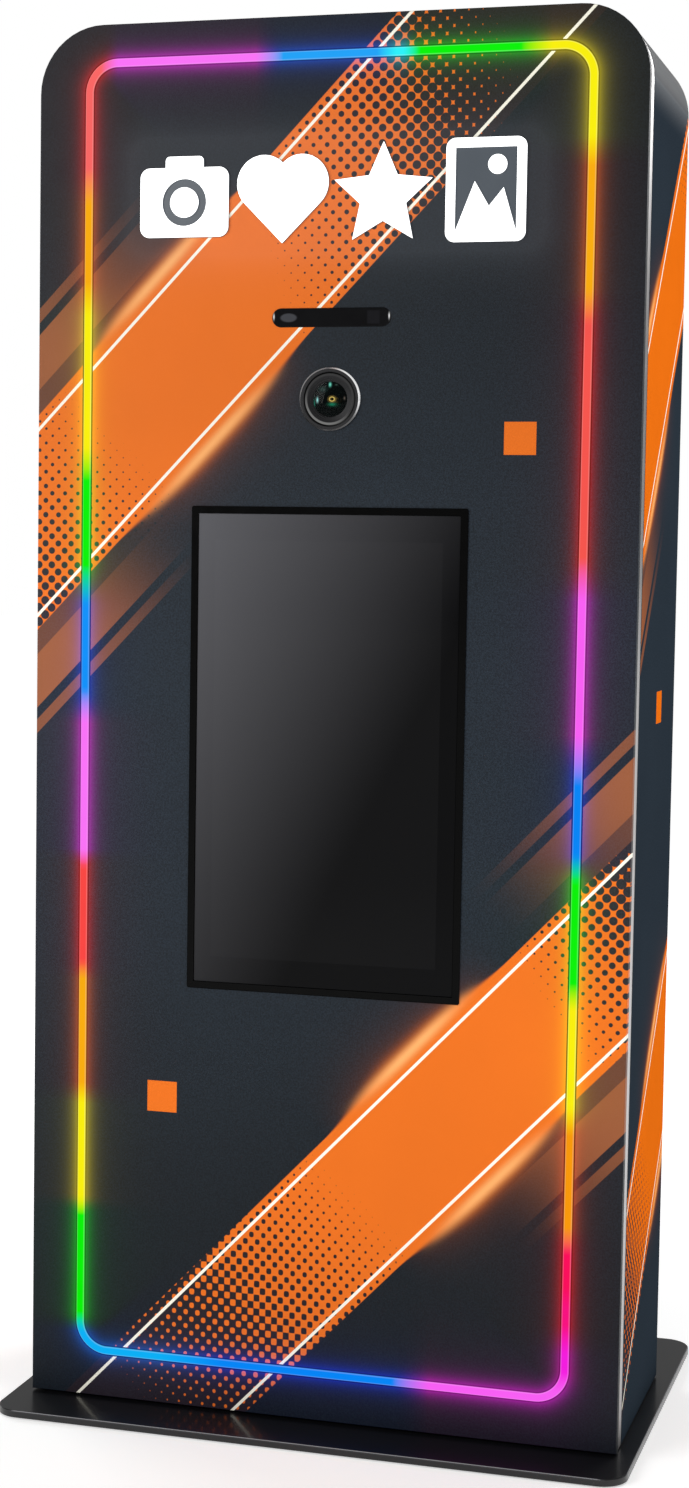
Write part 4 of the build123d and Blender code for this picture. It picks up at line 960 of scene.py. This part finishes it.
def add_screw(shape, middle, radius, tall, sides=20):
    """A round screw head that faces +Y, with a bevelled rim."""
    place = Matrix.Translation(middle + Vector((0, tall * MM / 2, 0))) @ Matrix.Rotation(math.pi / 2, 4, "X")
    made = bmesh.ops.create_cone(shape, cap_ends=True, segments=sides, radius1=radius * MM,
                                 radius2=radius * MM, depth=tall * MM, matrix=place)
    outer = rearmost({face for corner in made["verts"] for face in corner.link_faces})
    bmesh.ops.bevel(shape, geom=list(outer.edges), affect="EDGES", offset=0.35 * tall * MM, segments=2,
                    profile=0.5, material=-1)


# %% [markdown]
# Behind the front glass the lens tube holds a stack of thin black steps, which catch stray light, then an
# inner glass with a bright retaining ring. Each is one outline of radius and depth, turned on a lathe as the
# real rings are. The tube is fixed to the camera, so they tilt with it.

# %% Inside of the lens
BAFFLES = 7
BAFFLE_STEP = 1.8
BAFFLE_THICK = 2.4
WIDEST_BAFFLE = 23.0
TUBE_RADIUS = 28.7
TUBE_SETBACK = 2.8
TUBE_LENGTH = 23.4
INNER_RADIUS = 10.2
lens_axis = (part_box("front_element")[0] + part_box("front_element")[1]) / 2
tube_front = NOSE_BACK + TUBE_SETBACK
tube_back = tube_front + TUBE_LENGTH
steps = []
for number in range(BAFFLES):
    radius = WIDEST_BAFFLE - number * BAFFLE_STEP
    depth = tube_front + number * TUBE_LENGTH / BAFFLES
    steps += [(radius, depth), (radius - BAFFLE_STEP, depth + BAFFLE_THICK)]
shape = bmesh.new()
spun_ring(shape, steps + [(10.6, tube_back), (TUBE_RADIUS, tube_back), (TUBE_RADIUS, tube_front)], lens_axis)
new_part("lens_baffles", shape, "lens_black", "camera")

# %% Inner glass
shape = bmesh.new()
dome = [(0.0, tube_back - 6.6), (3.6, tube_back - 6.3), (7.0, tube_back - 5.2),
        (INNER_RADIUS, tube_back - 3.2)]
spun_ring(shape, dome + [(INNER_RADIUS, tube_back - 0.4), (0.0, tube_back - 0.4)], lens_axis, turns=48)
new_part("lens_inner_glass", shape, "lens_glass", "camera")

# %% Retaining ring
shape = bmesh.new()
spun_ring(shape, [(6.4, tube_back - 8.4), (7.6, tube_back - 8.8), (8.8, tube_back - 8.4),
                  (9.0, tube_back - 7.2), (6.2, tube_back - 7.2)], lens_axis, turns=48)
new_part("lens_retaining_ring", shape, "dial_metal", "camera")

# %% [markdown]
# The service door opens on the equipment shelf. The computer shows its connectors and cover screws, which on
# the real case are pressed shells in a steel panel. Each is given here by its place on the panel.

# %% Connectors and screws of the computer
# place to the right of the middle, height above the shelf, width and height of each shell
COMPUTER_PORTS = [(-84, 22, 14, 7), (-84, 34, 14, 7), (-60, 28, 16, 14), (-34, 22, 15, 6), (-34, 36, 15, 6),
                  (-8, 28, 16, 14), (16, 26, 31, 9)]
SCREW_FROM_SIDE = 12
SCREW_FROM_TOP = 10
low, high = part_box("mini_computer")
panel_middle = Vector(((low.x + high.x) / 2, high.y, low.z))
shape = bmesh.new()
for across, up, wide, tall in COMPUTER_PORTS:
    add_socket(shape, panel_middle + Vector((across, 0, up)) * MM, wide, tall, deep=1.3)
new_part("computer_ports", shape, "zinc", "cabinet")

shape = bmesh.new()
for x in (low.x + SCREW_FROM_SIDE * MM, high.x - SCREW_FROM_SIDE * MM):
    for z in (low.z + SCREW_FROM_TOP * MM, high.z - SCREW_FROM_TOP * MM):
        add_screw(shape, Vector((x, high.y, z)), radius=3.0, tall=1.8)
new_part("computer_screws", shape, "black_fixings", "cabinet")

# %% [markdown]
# The power supply has a row of screw terminals with thin walls between them on a moulded strip, and the
# light controller a row of plug-in terminals. Both rows are one shape repeated at a fixed pitch, as such
# strips are moulded and cut to length.

# %% Terminals of the supply
TERMINALS = 7
TERMINAL_PITCH = 11.0
WALL_HALF = 0.8
STRIP_HALF = 40.0
low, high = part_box("power_supply")
middle = (low.x + high.x) / 2


def add_strip_box(shape, centre, half, foot, top, proud):
    """A box on the supply's rear face. All but its centre are in millimetres, up from the shelf or out."""
    add_box(shape, Vector((centre - half * MM, high.y, low.z + foot * MM)),
            Vector((centre + half * MM, high.y + proud * MM, low.z + top * MM)))


shape = bmesh.new()
screws = bmesh.new()
for number in range(TERMINALS + 1):
    x = middle + (number - TERMINALS / 2) * TERMINAL_PITCH * MM
    add_strip_box(shape, x, WALL_HALF, foot=12, top=30, proud=9)
    if number < TERMINALS:
        seat = Vector((x + TERMINAL_PITCH * MM / 2, high.y + 2.5 * MM, low.z + 21 * MM))
        add_screw(screws, seat, radius=3.2, tall=2.0)
add_strip_box(shape, middle, STRIP_HALF, foot=13, top=29, proud=3)
new_part("supply_terminals", shape, "knob_plastic", "cabinet")
new_part("supply_screws", screws, "zinc", "cabinet")

# %% Terminals of the light controller
PLUGS = 6
PLUG_HEIGHT = 12
low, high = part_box("led_controller")
shape = bmesh.new()
for number in range(PLUGS):
    x = (low.x + high.x) / 2 + (number - (PLUGS - 1) / 2) * TERMINAL_PITCH * MM
    plug = Vector((x, high.y, low.z + PLUG_HEIGHT * MM))
    add_socket(shape, plug, wide=10.2, tall=10.0, deep=1.2, wall=1.6)
new_part("controller_terminals", shape, "circuit_board", "cabinet")

# %% [markdown]
# The sensor's board carries a few packages on its back, where the open door shows it. They are soldered flat
# on the board, so each is a low box with barely broken edges.

# %% Packages on the sensor board
# place to the right of and above the board's middle, width, height, and how far it stands out
PACKAGES = [(-66, 2, 12, 12, 1.6), (-44, -4, 8, 5, 1.2), (-44, 5, 6, 4, 1.0), (36, 1, 14, 9, 2.0),
            (56, -5, 7, 4, 1.1), (60, 5, 5, 5, 1.3)]
CIRCUIT_THICK = 2
low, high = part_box("sensor_board")
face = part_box("front_fascia")[1].y + CIRCUIT_THICK * MM
shape = bmesh.new()
for across, up, wide, tall, proud in PACKAGES:
    centre = Vector(((low.x + high.x) / 2 + across * MM, face, (low.z + high.z) / 2 + up * MM))
    half = Vector((wide / 2, 0, tall / 2)) * MM
    add_box(shape, centre - half, centre + half + Vector((0, proud * MM, 0)), bevel=0.25)
new_part("sensor_packages", shape, "panel_black", "cabinet")

# %% [markdown]
# The studio is a pale floor that runs into a pale backdrop, a large soft light high on the left, a weaker
# one on the right, and one behind that draws the edges. The camera stands at eye height, to the right of
# the booth and a little turned, so that the front and the narrow side both show.

# %% Studio
FLOOR_FADE = (300, 4500)
FLOOR_SIZE = 40


def studio_floor():
    finish = Finish("studio_floor")
    x, y, _ = finish.place()
    slow = cloud(finish, 900, detail=2.0)
    far = step((x * x + y * y) ** 0.5, *FLOOR_FADE)
    return finish.surface(Base_Color=mix(slow, paint("F2F2F2"), paint("F7F7F7")), Roughness=0.9,
                          Specular_IOR_Level=0.1, Emission_Strength=1.0,
                          Emission_Color=mix(far, paint("ACACAC"), paint("E4E4E4")))


sheet = bmesh.new()
bmesh.ops.create_grid(sheet, x_segments=1, y_segments=1, size=FLOOR_SIZE)
floor_mesh = bpy.data.meshes.new("studio_floor")
sheet.to_mesh(floor_mesh)
sheet.free()
floor = bpy.data.objects.new("studio_floor", floor_mesh)
floor.data.materials.append(studio_floor())
bpy.context.scene.collection.objects.link(floor)
floor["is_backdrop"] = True


def soft_light(name, place, target, size, power):
    """A square soft box that looks at its target."""
    lamp = bpy.data.lights.new(name, "AREA")
    lamp.size = size
    lamp.energy = power
    box = bpy.data.objects.new(name, lamp)
    box.location = place
    box.rotation_euler = (Vector(target) - Vector(place)).to_track_quat("-Z", "Y").to_euler()
    bpy.context.scene.collection.objects.link(box)


soft_light("key", (-3.0, -3.9, 2.6), (0, 0, 1.0), 2.6, 118)
soft_light("fill", (3.4, -2.6, 2.0), (0, 0, 0.9), 2.0, 46)
soft_light("rim", (1.8, 3.0, 3.2), (0, 0, 1.2), 1.8, 60)
soft_light("left", (-3.2, 2.0, 2.2), (0, 0, 1.0), 2.0, 50)

world = bpy.data.worlds.new("studio")
world.use_nodes = True
WORLD_SEEN = 1.0
WORLD_CAST = 0.26
sky = world.node_tree.nodes["Background"]
rays = world.node_tree.nodes.new("ShaderNodeLightPath")
level = world.node_tree.nodes.new("ShaderNodeMapRange")
level.inputs["To Min"].default_value = WORLD_CAST
level.inputs["To Max"].default_value = WORLD_SEEN
world.node_tree.links.new(rays.outputs["Is Camera Ray"], level.inputs["Value"])
world.node_tree.links.new(level.outputs["Result"], sky.inputs["Strength"])
sky.inputs["Color"].default_value = (1, 1, 1, 1)
bpy.context.scene.world = world
bpy.context.scene.view_settings.view_transform = "Standard"

# %% Camera
CAMERA_PLACE = Vector((0.991, -3.601, 1.2585))
CAMERA_TURN = math.radians(15.93)
CAMERA_DIP = math.radians(4.35)
CAMERA_ROLL = math.radians(0.91)
CAMERA_LENS = 60.5
lens_data = bpy.data.cameras.new("camera")
lens_data.lens = CAMERA_LENS
lens_data.sensor_width = 36
lens_data.clip_end = 100
camera = bpy.data.objects.new("camera", lens_data)
turn = (Matrix.Rotation(CAMERA_TURN, 4, "Z") @ Matrix.Rotation(math.pi / 2 - CAMERA_DIP, 4, "X")
        @ Matrix.Rotation(CAMERA_ROLL, 4, "Z"))
camera.matrix_world = Matrix.Translation(CAMERA_PLACE) @ turn
bpy.context.scene.collection.objects.link(camera)
bpy.context.scene.camera = camera

# %% Size of the scene
low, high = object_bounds()
